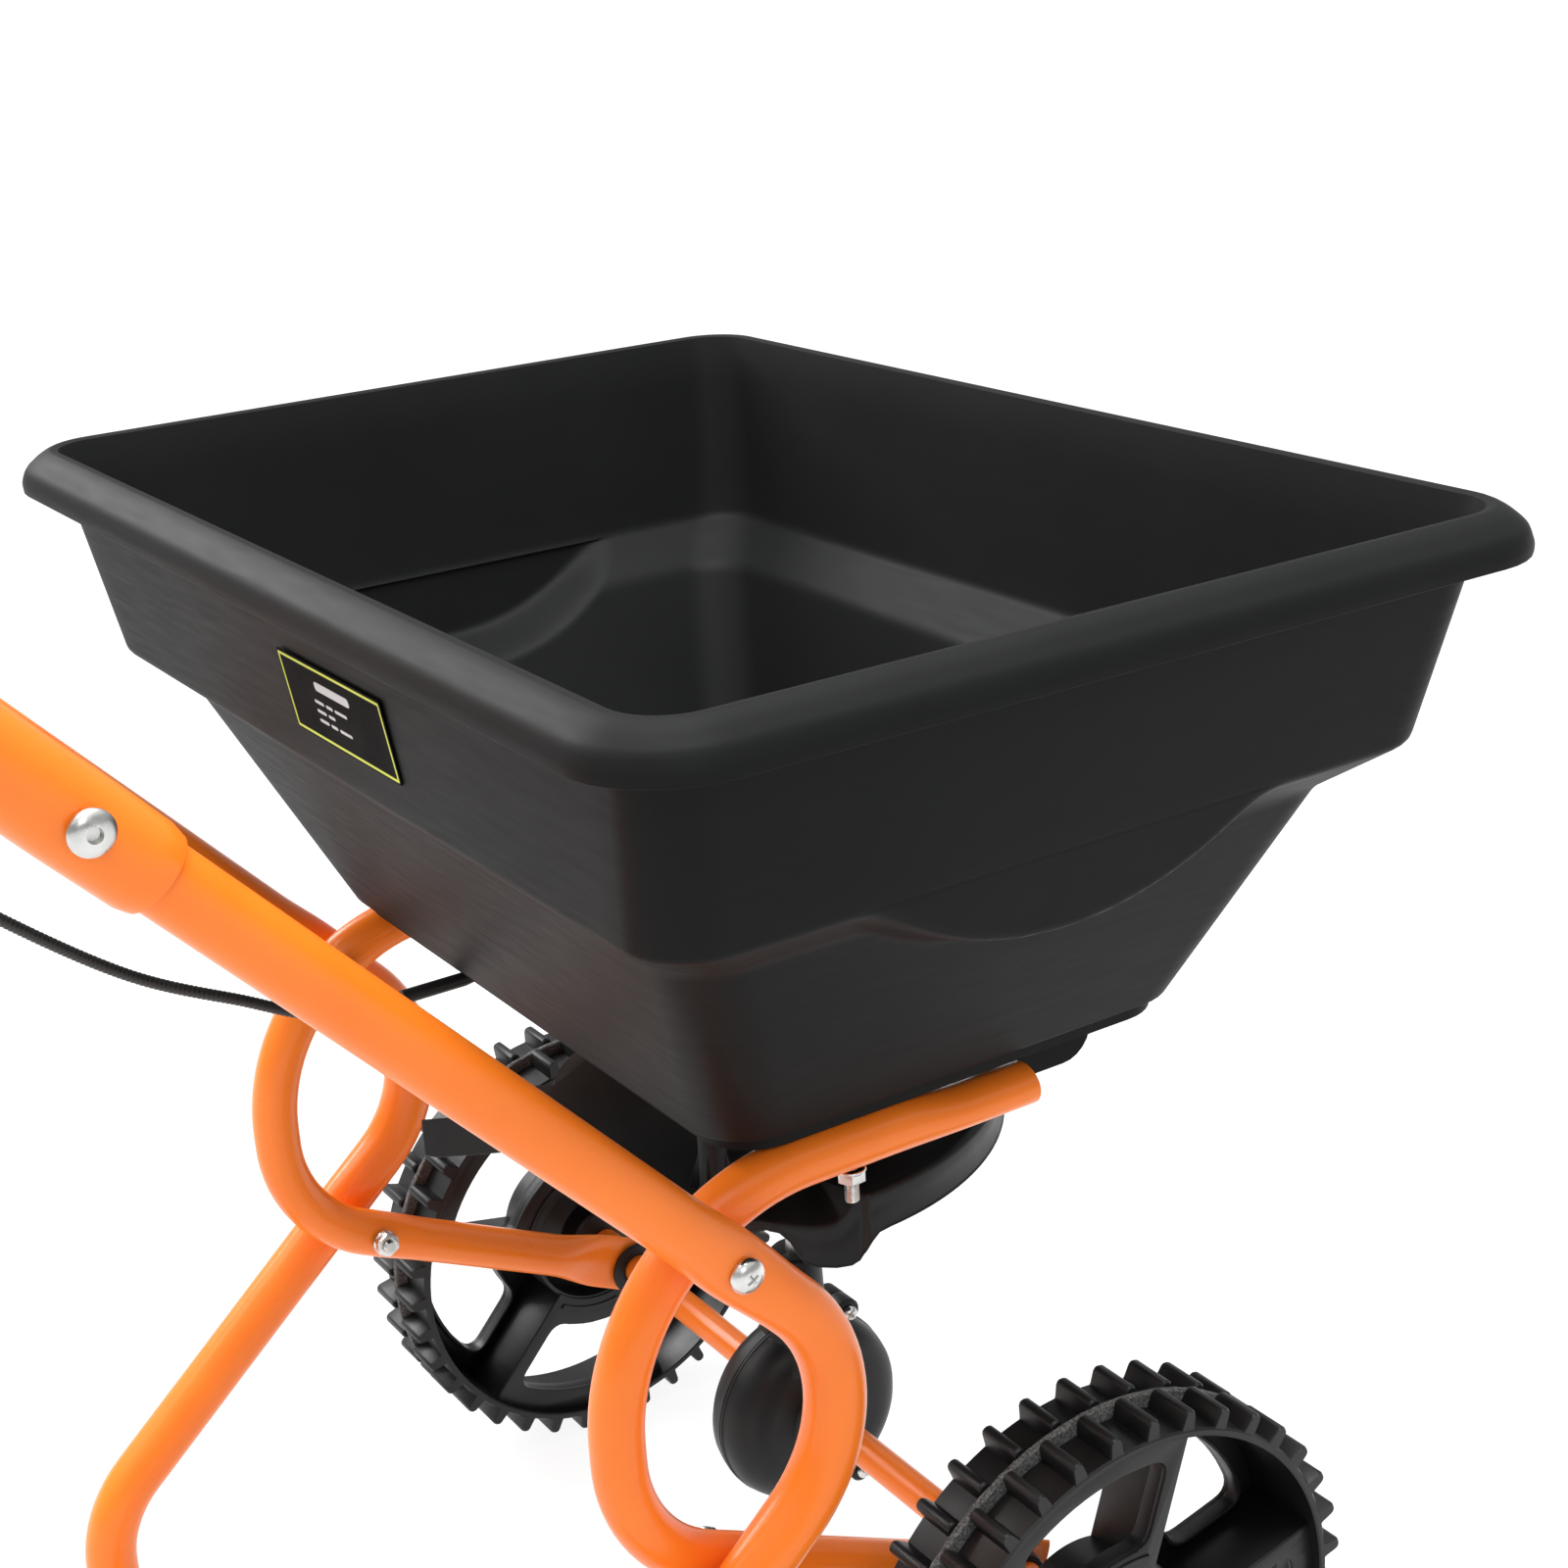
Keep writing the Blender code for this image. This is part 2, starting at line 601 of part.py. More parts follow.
def make_bushings():
    for side, name in ((1, "right"), (-1, "left")):
        profile = [(AXLE_RADIUS + GAP, -0.0075), (0.0108, -0.0075), (0.0108, 0.0035), (0.0150, 0.0035),
                   (0.0150, 0.0060), (AXLE_RADIUS + GAP, 0.0060)]
        bushing = turned(f"{name}_axle_bushing", profile[::-1], (side * SUPPORT_X, AXLE_Y, AXLE_Z),
                         Vector((-side, 0, 0)), 14)
        finish(bushing, SHROUD_BLACK)


LUG_HALF = 0.0106


def make_gearbox():
    centre = (0.0, AXLE_Y, AXLE_Z)
    body = [(0.0, 0.019), (0.036, 0.019), (0.043, 0.016), (0.0475, 0.010), (0.0490, 0.0), (0.0475, -0.010),
            (0.043, -0.016), (0.036, -0.019), (0.0, -0.019)]
    solid = turned("gearbox", body, centre, "X", 24)
    boss = cylinder("boss", centre, "X", 0.0150, 0.058, 16)
    solid = boolean(solid, boss, "UNION")
    neck = [(0.0, 0.0860), (0.0125, 0.0860), (0.0135, 0.0600), (0.0200, 0.0430), (0.0260, 0.0300),
            (0.0, 0.0300)]
    solid = boolean(solid, turned("neck", neck, (0, SHAFT_Y, AXLE_Z), "Z", 16), "UNION")
    cavity = [(0.0, 0.0158), (0.0400, 0.0158), (0.0448, 0.0080), (0.0448, -0.0080), (0.0400, -0.0158),
              (0.0, -0.0158)]
    solid = bore(solid, centre, "X", AXLE_RADIUS + GAP, 0.080, 16)
    solid = boolean(solid, turned("cavity", cavity, centre, "X", 24, cutter=True))
    solid = bore(solid, (0, SHAFT_Y, AXLE_Z + 0.060), "Z", SHAFT_RADIUS + GAP, 0.080, 12)
    solid = bore(solid, (0, SHAFT_Y, AXLE_Z + 0.042), "Z", 0.0105, 0.030, 16)
    lugs = {"upper": (0, AXLE_Y + 0.0220, AXLE_Z + 0.0470), "lower": (0, AXLE_Y + 0.0260, AXLE_Z - 0.0450)}
    for place in lugs.values():
        solid = boolean(solid, cylinder("lug", place, "X", 0.0068, 2 * LUG_HALF, 12), "UNION")
        solid = bore(solid, place, "X", 0.0024, 0.040, 8)
    other = link("gearbox_left_shell", solid.data.copy())
    far = 0.2
    right_cut = box("split", (-far, -far, -far), (GAP / 2, far, 0.5), cutter=True)
    right = boolean(solid, right_cut)
    right.name = "gearbox_right_shell"
    left_cut = box("split", (-GAP / 2, -far, -far), (far, far, 0.5), cutter=True)
    left = boolean(other, left_cut)
    left.name = "gearbox_left_shell"
    finish(right, SHROUD_BLACK)
    finish(left, SHROUD_BLACK)
    for name, place in lugs.items():
        truss_bolt(f"gearbox_{name}_screw", (LUG_HALF + GAP, *place[1:]), "X", 0.0190, 0.0020, 0.0040)


def make_gears(axle_joint, spin_joint):
    teeth = gear_outline(GEAR_TEETH, 0.0405, 0.0375)
    gear = outline("bevel_gear", [teeth, circle(AXLE_RADIUS + GAP, 12)[::-1]], 0.0050,
                   axis_matrix((-0.0112, AXLE_Y, AXLE_Z), "X"))
    collar = outline("collar", [circle(0.0125, 12), circle(AXLE_RADIUS + GAP, 12)[::-1]], 0.0120,
                     axis_matrix((-0.0085, AXLE_Y, AXLE_Z), "X"))
    gear = boolean(gear, collar, "UNION")
    carry(finish(gear, NYLON), axle_joint)
    low = AXLE_Z + 0.0300
    teeth = gear_outline(PINION_TEETH, 0.0085, 0.0062)
    pinion = outline("pinion", [teeth, circle(SHAFT_RADIUS + GAP, 10)[::-1]], 0.0110,
                     axis_matrix((0, SHAFT_Y, low + 0.0055), "Z"))
    carry(finish(pinion, NYLON), spin_joint)


def make_shaft_group(spin_joint):
    low, high = AXLE_Z + 0.0290, 0.4040
    shaft = cylinder("drive_shaft", (0, SHAFT_Y, (low + high) / 2), "Z", SHAFT_RADIUS, high - low, 20)
    shaft = bore(shaft, (0, SHAFT_Y, 0.3930), "X", 0.0022, 0.030, 12)
    carry(finish(shaft, STEEL), spin_joint)

    edge = IMPELLER_RADIUS
    disc = [(0.0140, 0.0), (edge - 0.004, 0.0), (edge, 0.0030), (edge, 0.0050), (edge - 0.003, 0.0050),
            (edge - 0.006, 0.0030), (0.0140, 0.0030), (0.0110, 0.0190), (SHAFT_RADIUS + GAP, 0.0190),
            (SHAFT_RADIUS + GAP, -0.0060), (0.0120, -0.0060)]
    impeller = turned("impeller", disc[::-1], (0, SHAFT_Y, IMPELLER_Z), "Z", 20)
    for k in range(4):
        vane = box("vane", (0.0100, -0.0013, 0.0010), (IMPELLER_RADIUS - 0.004, 0.0013, 0.0160))
        vane.data.transform(Matrix.Rotation(math.radians(90 * k + 20), 4, "Z"))
        vane.data.transform(Matrix.Translation((0, SHAFT_Y, IMPELLER_Z)))
        impeller = boolean(impeller, vane, "UNION")
    carry(finish(impeller, SHROUD_BLACK), spin_joint)

    sweep = [(-0.030, 0.012), (-0.024, 0.0), (0.024, 0.0), (0.030, 0.012)]
    wire = [(x, SHAFT_Y, 0.3930 + z) for x, z in sweep]
    agitator = tube("agitator", fillet_path(wire, (0.004, 0.004), math.radians(20)), 0.0018, 2)
    carry(finish(agitator, STEEL), spin_joint)


# ---- outlet and shroud ----------------------------------------------------------
PLATE_THICK = 0.0025
SHUTTER_Z = HOPPER_FLOOR_Z - GAP - PLATE_THICK - GAP      # top of the shut-off plate
SHUTTER_THICK = 0.0020
SHUTTER_HALF = 0.0780
SHUTTER_REAR = -0.0360
SHUTTER_FRONT = 0.0100
CABLE_X = -0.0700
CABLE_LOW_Z = 0.3580
CABLE_RADIUS = 0.0027
FERRULE_FRONT = -0.0920
FERRULE_REAR = -0.1400


def make_outlet(shutter_joint):
    top = HOPPER_FLOOR_Z - GAP
    plate = outline("outlet_plate",
                    [[(-0.088, -0.060), (0.088, -0.060), (0.088, 0.078), (-0.088, 0.078)],
                     circle(0.0065, 18, (0, SHAFT_Y))[::-1], circle(0.0190, 24, (0, -0.0120))[::-1]],
                    PLATE_THICK, Matrix.Translation((0, 0, top - PLATE_THICK / 2)))
    rail_low = SHUTTER_Z - SHUTTER_THICK - GAP - 0.0015
    for side in (1, -1):
        web = sorted((side * (SHUTTER_HALF + 0.0006), side * (SHUTTER_HALF + 0.0040)))
        lip = sorted((side * (SHUTTER_HALF - 0.0030), side * (SHUTTER_HALF + 0.0040)))
        plate = boolean(plate, box("web", (web[0], -0.0590, rail_low),
                                   (web[1], 0.0120, top - 0.001)), "UNION")
        plate = boolean(plate, box("lip", (lip[0], -0.0590, rail_low),
                                   (lip[1], 0.0120, rail_low + 0.0015)), "UNION")
    finish(plate, SHROUD_BLACK)

    low = SHUTTER_Z - SHUTTER_THICK
    shutter = box("shutoff_plate", (-SHUTTER_HALF, SHUTTER_REAR, low),
                  (SHUTTER_HALF, SHUTTER_FRONT, SHUTTER_Z))
    tab = box("tab", (CABLE_X - 0.0040, SHUTTER_REAR, CABLE_LOW_Z - 0.0045),
              (CABLE_X + 0.0040, SHUTTER_REAR + 0.0020, low + 0.0005))
    shutter = boolean(shutter, tab, "UNION")
    carry(finish(shutter, ZINC), shutter_joint)
    wire = cylinder("pull_wire", (CABLE_X, (SHUTTER_REAR - GAP - 0.0960) / 2, CABLE_LOW_Z), "Y", 0.0009,
                    SHUTTER_REAR - GAP + 0.0960, 10)
    carry(finish(wire, STEEL), shutter_joint)


# The wall round the shroud: angle in degrees and height of its lower edge. It stops short of
# the left rear, where the control cable comes in.
SHROUD_GAP = (181.6, 236.4)
REAR_EDGE = [(-123.6, 0.0830), (-105.0, 0.0870), (-85.0, 0.0940), (-62.0, 0.1090), (-55.0, 0.1190),
             (-45.0, 0.1310), (-20.0, 0.1395)]
WALL_EDGE = [(-121.0, 0.3040), (-105.0, 0.3040), (-90.0, 0.3040), (-75.0, 0.3040), (-62.0, 0.3040),
             (-55.0, 0.3040), (-45.0, 0.3040), (-32.0, 0.3040), (-19.8, 0.3040),
             (-16.3, 0.2985), (-14.3, 0.2875), (-11.5, 0.2832), (-7.7, 0.2797), (-4.3, 0.2785),
             (-2.5, 0.2800), (-1.5, 0.2860), (2.0, 0.2915), (5.0, 0.2915)]
FIN_ANGLE = -120.0
FIN_END = 0.1275
MOUTH_Y = 0.0120                # the hole the granules fall through
MOUTH_RADIUS = 0.0420
WALL_STEP = 8.0
WALL_THICK = 0.0024
WALL_DRAFT = 0.03
FOLD_DEPTH = 0.0200


def shroud_radius(angle):
    """The shroud's radius at an angle in degrees from +X."""
    for (first, low), (last, high) in zip(REAR_EDGE, REAR_EDGE[1:]):
        if angle <= last:
            return low + (high - low) * (angle - first) / (last - first)
    return SHROUD_RADIUS


def wall_ring(angle, low):
    """The wall's section at an angle, as four points from the inner lower one round."""
    turn = math.radians(angle)
    high = SHROUD_Z + 0.0020
    outer = shroud_radius(angle) - 0.0005
    inset = (high - low) * WALL_DRAFT
    radii = [(outer - inset - WALL_THICK, low), (outer - inset, low), (outer, high),
             (outer - WALL_THICK, high)]
    return [Vector((r * math.cos(turn), SHROUD_Y + r * math.sin(turn), z)) for r, z in radii]


def make_shroud():
    first, last = (math.radians(a) for a in SHROUD_GAP)
    begin, sweep = SHROUD_GAP[1] - 360.0, SHROUD_GAP[0] + 360.0 - SHROUD_GAP[1]
    inner = 0.0660
    rim = [begin + sweep * k / 53 for k in range(54)]
    sheet = [(shroud_radius(a) * math.cos(math.radians(a)), shroud_radius(a) * math.sin(math.radians(a)))
             for a in rim]
    sheet += circle(inner, 8, (0, 0), first, last - first)
    mouth = circle(MOUTH_RADIUS, 16, (0.0, MOUTH_Y - SHROUD_Y))[::-1]
    plate = outline("spinner_shroud", [sheet, mouth], 0.0025,
                    Matrix.Translation((0.0, SHROUD_Y, SHROUD_Z + 0.00125)))
    edge = list(WALL_EDGE)
    while edge[-1][0] < SHROUD_GAP[0] - 0.5 * WALL_STEP:
        edge.append((edge[-1][0] + WALL_STEP, edge[-1][1]))
    plate = boolean(plate, loft("wall", [wall_ring(angle, low) for angle, low in edge]), "UNION")
    corner = SHROUD_RADIUS - 0.0022
    for angle, near, far in ((FIN_ANGLE, 0.0640, FIN_END), (-7.5, corner - FOLD_DEPTH, corner)):
        fold = box("fold", (near, -0.0012, 0.2805), (far, 0.0012, SHROUD_Z + 0.0010))
        turn = Matrix.Rotation(math.radians(angle), 4, "Z")
        fold.data.transform(Matrix.Translation((0, SHROUD_Y, 0)) @ turn)
        plate = boolean(plate, fold, "UNION")
    for x, y in ((0.096, -0.070), (0.096, 0.0660), (-0.096, 0.0660)):
        post = cylinder("post", (x, y, (SHROUD_Z + 0.001 + HOPPER_FLOOR_Z - GAP) / 2), "Z", 0.0060,
                        HOPPER_FLOOR_Z - GAP - SHROUD_Z - 0.001, 10)
        plate = boolean(plate, post, "UNION")
    finish(plate, SHROUD_BLACK)


def make_support_clips():
    for side, name in ((1, "right"), (-1, "left")):
        loop = [(0.050, HOPPER_FLOOR_Z - GAP), (0.088, HOPPER_FLOOR_Z - GAP)] + circle(
            0.015, 7, (0.073, 0.3600), 0.0, -math.pi / 2) + [(0.050, 0.3450)]
        clip = outline(f"{name}_front_clip", [loop], 0.0030, side_matrix(side * 0.1490))
        finish(clip, HOPPER_BLACK)


# ---- control lever and cable ------------------------------------------------------
PIVOT_OVER = 0.0400            # lever pivot above the brace
GAUGE_RADIUS = 0.0920
SLOT_RADIUS = 0.0790
LEVER_REST = math.radians(125)
STOP_REST = math.radians(60)
PLATE_HALF = 0.0015
LEVER_THICK = 0.0040


def control_matrix(x):
    """Local frame of the gauge: U up the handle, V square above it, at the given X."""
    pivot = on_handle(BRACE_S, PIVOT_OVER, x)
    side = UP_HANDLE.cross(OVER_HANDLE)
    turn = Matrix((UP_HANDLE, OVER_HANDLE, side)).transposed().to_4x4()
    return Matrix.Translation(pivot) @ turn


def ring_slot(radius, half, start, sweep, count=10):
    outer = circle(radius + half, count, start=start, sweep=sweep)
    inner = circle(radius - half, count, start=start + sweep, sweep=-sweep)
    return outer + inner


def cable_start(x):
    """Where the cable's sheath ends in the gauge plate's bracket."""
    point = control_matrix(0.0) @ Vector((-0.066, 0.030, 0.0))
    point.x = x
    return point


def make_controls(lever_joint, stop_joint):
    half_span = FRAME_X - HANDLE_RADIUS - 2 * GAP
    middle = on_handle(BRACE_S)
    brace = cylinder("handle_brace", middle, "X", 0.0095, 2 * half_span, 20)
    finish(brace, ORANGE)

    fan = circle(GAUGE_RADIUS, 16, start=math.radians(32), sweep=math.radians(118))
    collar = circle(0.0175, 9, (0.0, -PIVOT_OVER), math.radians(190), math.radians(160))
    brace_hole = circle(0.0098, 20, (0.0, -PIVOT_OVER))[::-1]
    slot = ring_slot(SLOT_RADIUS, 0.0032, math.radians(38), math.radians(100))[::-1]
    plate = outline("gauge_plate", [fan + collar, brace_hole, circle(0.0035, 14)[::-1], slot],
                    2 * PLATE_HALF, control_matrix(0.0))
    bracket = box("bracket", (-0.0120, -0.0060, -0.0070), (0.0, 0.0060, 0.0070))
    turn = Matrix((Vector((1, 0, 0)), OVER_HANDLE, UP_HANDLE)).transposed().to_4x4()
    bracket.data.transform(Matrix.Translation(cable_start(0.0)) @ turn)
    plate = boolean(plate, bracket, "UNION")
    plate = bore(plate, cable_start(-0.0070), UP_HANDLE, CABLE_RADIUS + GAP, 0.040, 12)
    finish(plate, SHROUD_BLACK)

    along = (math.cos(LEVER_REST), math.sin(LEVER_REST))
    across = (-along[1], along[0])

    def point(run, side):
        return (along[0] * run + across[0] * side, along[1] * run + across[1] * side)

    loop = ([point(0.150, -0.0085), point(0.150, 0.0085)] + [point(0.060, 0.0085)]
            + circle(0.0120, 9, start=LEVER_REST + math.pi / 2, sweep=math.pi) + [point(0.060, -0.0085)])
    lever_x = PLATE_HALF + GAP + LEVER_THICK / 2
    lever = outline("control_lever", [loop, circle(0.0035, 14)[::-1]], LEVER_THICK, control_matrix(lever_x))
    carry(finish(lever, ZINC), lever_joint)
    end = control_matrix(lever_x) @ Vector((*point(0.112, 0.0), 0.0))
    tip = control_matrix(lever_x) @ Vector((*point(0.168, 0.0), 0.0))
    knob = cylinder("lever_grip", (end + tip) / 2, (tip - end).normalized(), 0.0120, 0.056, 20, 0.0140)
    blade = [point(0.1000, -0.0088), point(0.1503, -0.0088), point(0.1503, 0.0088), point(0.1000, 0.0088)]
    slot = outline("lever_slot", [blade], LEVER_THICK + 2 * GAP, control_matrix(lever_x), True)
    knob = boolean(knob, slot)
    carry(finish(knob, RUBBER), lever_joint)

    pivot = on_handle(BRACE_S, PIVOT_OVER, lever_x + LEVER_THICK / 2 + GAP)
    truss_bolt("lever_pivot_bolt", pivot, "X", 0.0140, 0.0030, 0.0080)

    spot = Vector((SLOT_RADIUS * math.cos(STOP_REST), SLOT_RADIUS * math.sin(STOP_REST), 0.0))
    stop_at = control_matrix(0.0) @ spot
    out = stop_at + Vector((PLATE_HALF + GAP + 0.0030, 0, 0))
    block = cylinder("flow_stop", out, "X", 0.0070, 0.0060, 6)
    shank = cylinder("shank", stop_at, "X", 0.0026, 0.0120, 14)
    block = boolean(block, shank, "UNION")
    carry(finish(block, ZINC), stop_joint)
    knob = turned("stop_knob", [(0.0, 0.0110), (0.0090, 0.0105), (0.0105, 0.0080), (0.0095, 0.0),
                                (0.0029, 0.0), (0.0029, 0.0055), (0.0, 0.0055)],
                  stop_at - Vector((PLATE_HALF + GAP, 0, 0)), Vector((-1, 0, 0)), 20)
    carry(finish(knob, RUBBER), stop_joint)


def make_cable():
    """Sheathed control cable from the gauge plate down to its ferrule under the hopper."""
    start = cable_start(-0.0070)
    route = [start + UP_HANDLE * 0.010, start - UP_HANDLE * 0.010, start - UP_HANDLE * 0.030,
             (-0.010, -0.545, 0.790),
             (-0.016, -0.480, 0.660), (-0.024, -0.404, 0.549), (-0.040, -0.324, 0.471),
             (-0.057, -0.257, 0.412), (-0.065, -0.203, 0.380), (-0.068, -0.178, 0.3660),
             (CABLE_X, FERRULE_REAR - 0.0150, CABLE_LOW_Z + 0.0010),
             (CABLE_X, FERRULE_REAR - 2 * GAP, CABLE_LOW_Z)]
    sheath = tube("control_cable", smooth_route(route, 3), CABLE_RADIUS, 2)
    finish(sheath, CABLE_BLACK)
    ferrule = cylinder("cable_ferrule", (CABLE_X, (FERRULE_FRONT + FERRULE_REAR) / 2, CABLE_LOW_Z), "Y",
                       0.0033, FERRULE_FRONT - FERRULE_REAR, 16)
    middle = (CABLE_X, (FERRULE_FRONT + FERRULE_REAR) / 2, CABLE_LOW_Z)
    ferrule = bore(ferrule, middle, "Y", 0.0014, 0.060, 10)
    finish(ferrule, CABLE_BLACK)


def smooth_route(corners, per_span):
    """Catmull-Rom points through the corners."""
    knots = [Vector(c) for c in corners]
    knots = [knots[0] * 2 - knots[1]] + knots + [knots[-1] * 2 - knots[-2]]
    points = []
    for a, b, c, d in zip(knots, knots[1:], knots[2:], knots[3:]):
        for k in range(per_span):
            t = k / per_span
            points.append(0.5 * (2 * b + (c - a) * t + (2 * a - 5 * b + 4 * c - d) * t ** 2
                                 + (3 * b - a - 3 * c + d) * t ** 3))
    points.append(knots[-2])
    return points


def build():
    axle_joint = empty("axle_joint", (0.0, AXLE_Y, AXLE_Z))
    free_joint = empty("free_wheel_joint", (0.0, AXLE_Y, AXLE_Z))
    spin_joint = empty("spinner_joint", (0.0, SHAFT_Y, IMPELLER_Z))
    shutter_joint = empty("shutter_joint", (0.0, 0.0, SHUTTER_Z))
    lever_joint = empty("lever_joint", on_handle(BRACE_S, PIVOT_OVER))
    stop_joint = empty("stop_joint", on_handle(BRACE_S, PIVOT_OVER))
    make_hopper()
    make_rating_plate()
    make_support_tube()
    make_frame_tube()
    make_upper_handle()
    make_stand()
    make_grips()
    make_crossing_fasteners()
    make_hopper_fasteners()
    make_axle_group(axle_joint, free_joint)
    make_bushings()
    make_gearbox()
    make_gears(axle_joint, spin_joint)
    make_shaft_group(spin_joint)
    make_outlet(shutter_joint)
    make_shroud()
    make_support_clips()
    make_controls(lever_joint, stop_joint)
    make_cable()


build()
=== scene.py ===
"""Visible model of the garden spreader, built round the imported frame.

Lengths are in metres. Heights are above the ground. Points marked as local have
Y = 0 under the middle of the hopper; at() moves them into the frame.
"""
import math
import random

import bmesh
import bpy
from mathutils import Matrix, Vector


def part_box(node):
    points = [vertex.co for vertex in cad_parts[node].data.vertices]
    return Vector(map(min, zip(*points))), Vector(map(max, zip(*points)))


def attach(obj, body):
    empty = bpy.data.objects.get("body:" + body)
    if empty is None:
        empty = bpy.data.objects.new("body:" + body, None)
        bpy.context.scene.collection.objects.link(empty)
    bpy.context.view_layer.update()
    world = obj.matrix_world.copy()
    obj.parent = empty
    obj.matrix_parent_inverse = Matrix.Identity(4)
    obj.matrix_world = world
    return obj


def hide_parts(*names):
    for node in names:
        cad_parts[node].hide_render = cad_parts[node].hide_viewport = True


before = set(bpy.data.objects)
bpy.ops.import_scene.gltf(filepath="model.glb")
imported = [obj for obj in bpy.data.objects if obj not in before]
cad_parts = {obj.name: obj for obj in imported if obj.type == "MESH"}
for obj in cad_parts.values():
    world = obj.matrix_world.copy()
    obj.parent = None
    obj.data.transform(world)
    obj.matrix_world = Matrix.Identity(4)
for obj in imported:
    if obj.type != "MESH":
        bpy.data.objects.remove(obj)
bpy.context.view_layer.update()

X_AXIS, Y_AXIS, Z_AXIS = Vector((1, 0, 0)), Vector((0, 1, 0)), Vector((0, 0, 1))
# Takes a flat outline's X and Y to the frame's Y and Z.
UPRIGHT = Matrix(((0, 0, 1, 0), (1, 0, 0, 0), (0, 1, 0, 0), (0, 0, 0, 1)))

# ---- sizes taken from the frame -----------------------------------------------
HOPPER_LOW, HOPPER_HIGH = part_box("hopper")
Y0 = (HOPPER_LOW.y + HOPPER_HIGH.y) / 2
FLOOR_Z = HOPPER_LOW.z                      # underside of the hopper
RIM_Z = HOPPER_HIGH.z
FRAME_LOW, FRAME_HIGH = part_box("right_frame_tube")
FRAME_X = (FRAME_LOW.x + FRAME_HIGH.x) / 2
FRAME_R = (FRAME_HIGH.x - FRAME_LOW.x) / 2
SUPPORT_LOW, SUPPORT_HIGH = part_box("right_support_tube")
SUPPORT_X = (SUPPORT_LOW.x + SUPPORT_HIGH.x) / 2
SUPPORT_R = (SUPPORT_HIGH.x - SUPPORT_LOW.x) / 2
HANDLE_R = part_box("upper_handle")[1].x - FRAME_X
AXLE_LOW, AXLE_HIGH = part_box("axle")
AXLE = (AXLE_LOW + AXLE_HIGH) / 2
AXLE_R = (AXLE_HIGH.z - AXLE_LOW.z) / 2
WHEEL_IN, WHEEL_OUT = 0.2000, 0.2480
WHEEL_TIP = (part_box("right_wheel")[1].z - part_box("right_wheel")[0].z) / 2
IMPELLER_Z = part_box("impeller")[0].z + 0.006

HANDLE_ANGLE = math.radians(47.06)
UP = Vector((0.0, -math.cos(HANDLE_ANGLE), math.sin(HANDLE_ANGLE)))
OVER = Vector((0.0, math.sin(HANDLE_ANGLE), math.cos(HANDLE_ANGLE)))
SLEEVE_MOUTH = (-0.3165, 0.5490)
HANDLE_LENGTH = 0.611
HANDLE_CORNER = 0.085
BRACE_S = 0.455
PIVOT_OVER = 0.040
UPPER_CROSS = (-0.1215, 0.3395)
LOWER_CROSS = (-0.1180, 0.1900)
RIM_HALF_X, RIM_HALF_Y, RIM_CORNER = 0.2766, 0.1890, 0.021
SIDE_NAMES = {"right": 1, "left": -1}       # each side's name and its direction along X


def at(x, y, z):
    """A local point in the frame."""
    return Vector((x, y + Y0, z))


def on_handle(along, over=0.0, x=0.0):
    """A point at a distance up the handle tube, lifted square off its axis."""
    return at(x, *SLEEVE_MOUTH) + UP * along + OVER * over


# ---- materials ----------------------------------------------------------------


def new_material(name, colour, roughness, metallic=0.0, coat=0.0, coat_roughness=0.1):
    mat = bpy.data.materials.new(name)
    mat.use_nodes = True
    tree = mat.node_tree
    shader = tree.nodes["Principled BSDF"]
    shader.inputs["Base Color"].default_value = (*colour, 1.0)
    shader.inputs["Roughness"].default_value = roughness
    shader.inputs["Metallic"].default_value = metallic
    shader.inputs["IOR"].default_value = 1.5
    shader.inputs["Coat Weight"].default_value = coat
    shader.inputs["Coat Roughness"].default_value = coat_roughness
    where = tree.nodes.new("ShaderNodeTexCoord")
    return mat, tree, shader, where.outputs["Object"]


def noise(tree, vector, scale, detail=4.0, rough=0.55, stretch=None):
    if stretch:
        mapping = tree.nodes.new("ShaderNodeMapping")
        mapping.inputs["Scale"].default_value = stretch
        tree.links.new(vector, mapping.inputs["Vector"])
        vector = mapping.outputs["Vector"]
    node = tree.nodes.new("ShaderNodeTexNoise")
    node.inputs["Scale"].default_value = scale
    node.inputs["Detail"].default_value = detail
    node.inputs["Roughness"].default_value = rough
    tree.links.new(vector, node.inputs["Vector"])
    return node.outputs["Fac"]


def ramp(tree, value, low, high, at_low=0.3, at_high=0.7):
    node = tree.nodes.new("ShaderNodeMapRange")
    node.inputs["From Min"].default_value = at_low
    node.inputs["From Max"].default_value = at_high
    node.inputs["To Min"].default_value = low
    node.inputs["To Max"].default_value = high
    tree.links.new(value, node.inputs["Value"])
    return node.outputs["Result"]


def blend_colour(tree, factor, low, high):
    node = tree.nodes.new("ShaderNodeMix")
    node.data_type = "RGBA"
    node.inputs["A"].default_value = (*low, 1.0)
    node.inputs["B"].default_value = (*high, 1.0)
    tree.links.new(factor, node.inputs["Factor"])
    return node.outputs["Result"]


def bump(tree, shader, height, strength, distance):
    node = tree.nodes.new("ShaderNodeBump")
    node.inputs["Strength"].default_value = strength
    node.inputs["Distance"].default_value = distance
    tree.links.new(height, node.inputs["Height"])
    tree.links.new(node.outputs["Normal"], shader.inputs["Normal"])


def add_values(tree, first, second, weight):
    node = tree.nodes.new("ShaderNodeMath")
    node.operation = "MULTIPLY_ADD"
    node.inputs[1].default_value = weight
    tree.links.new(second, node.inputs[0])
    tree.links.new(first, node.inputs[2])
    return node.outputs[0]


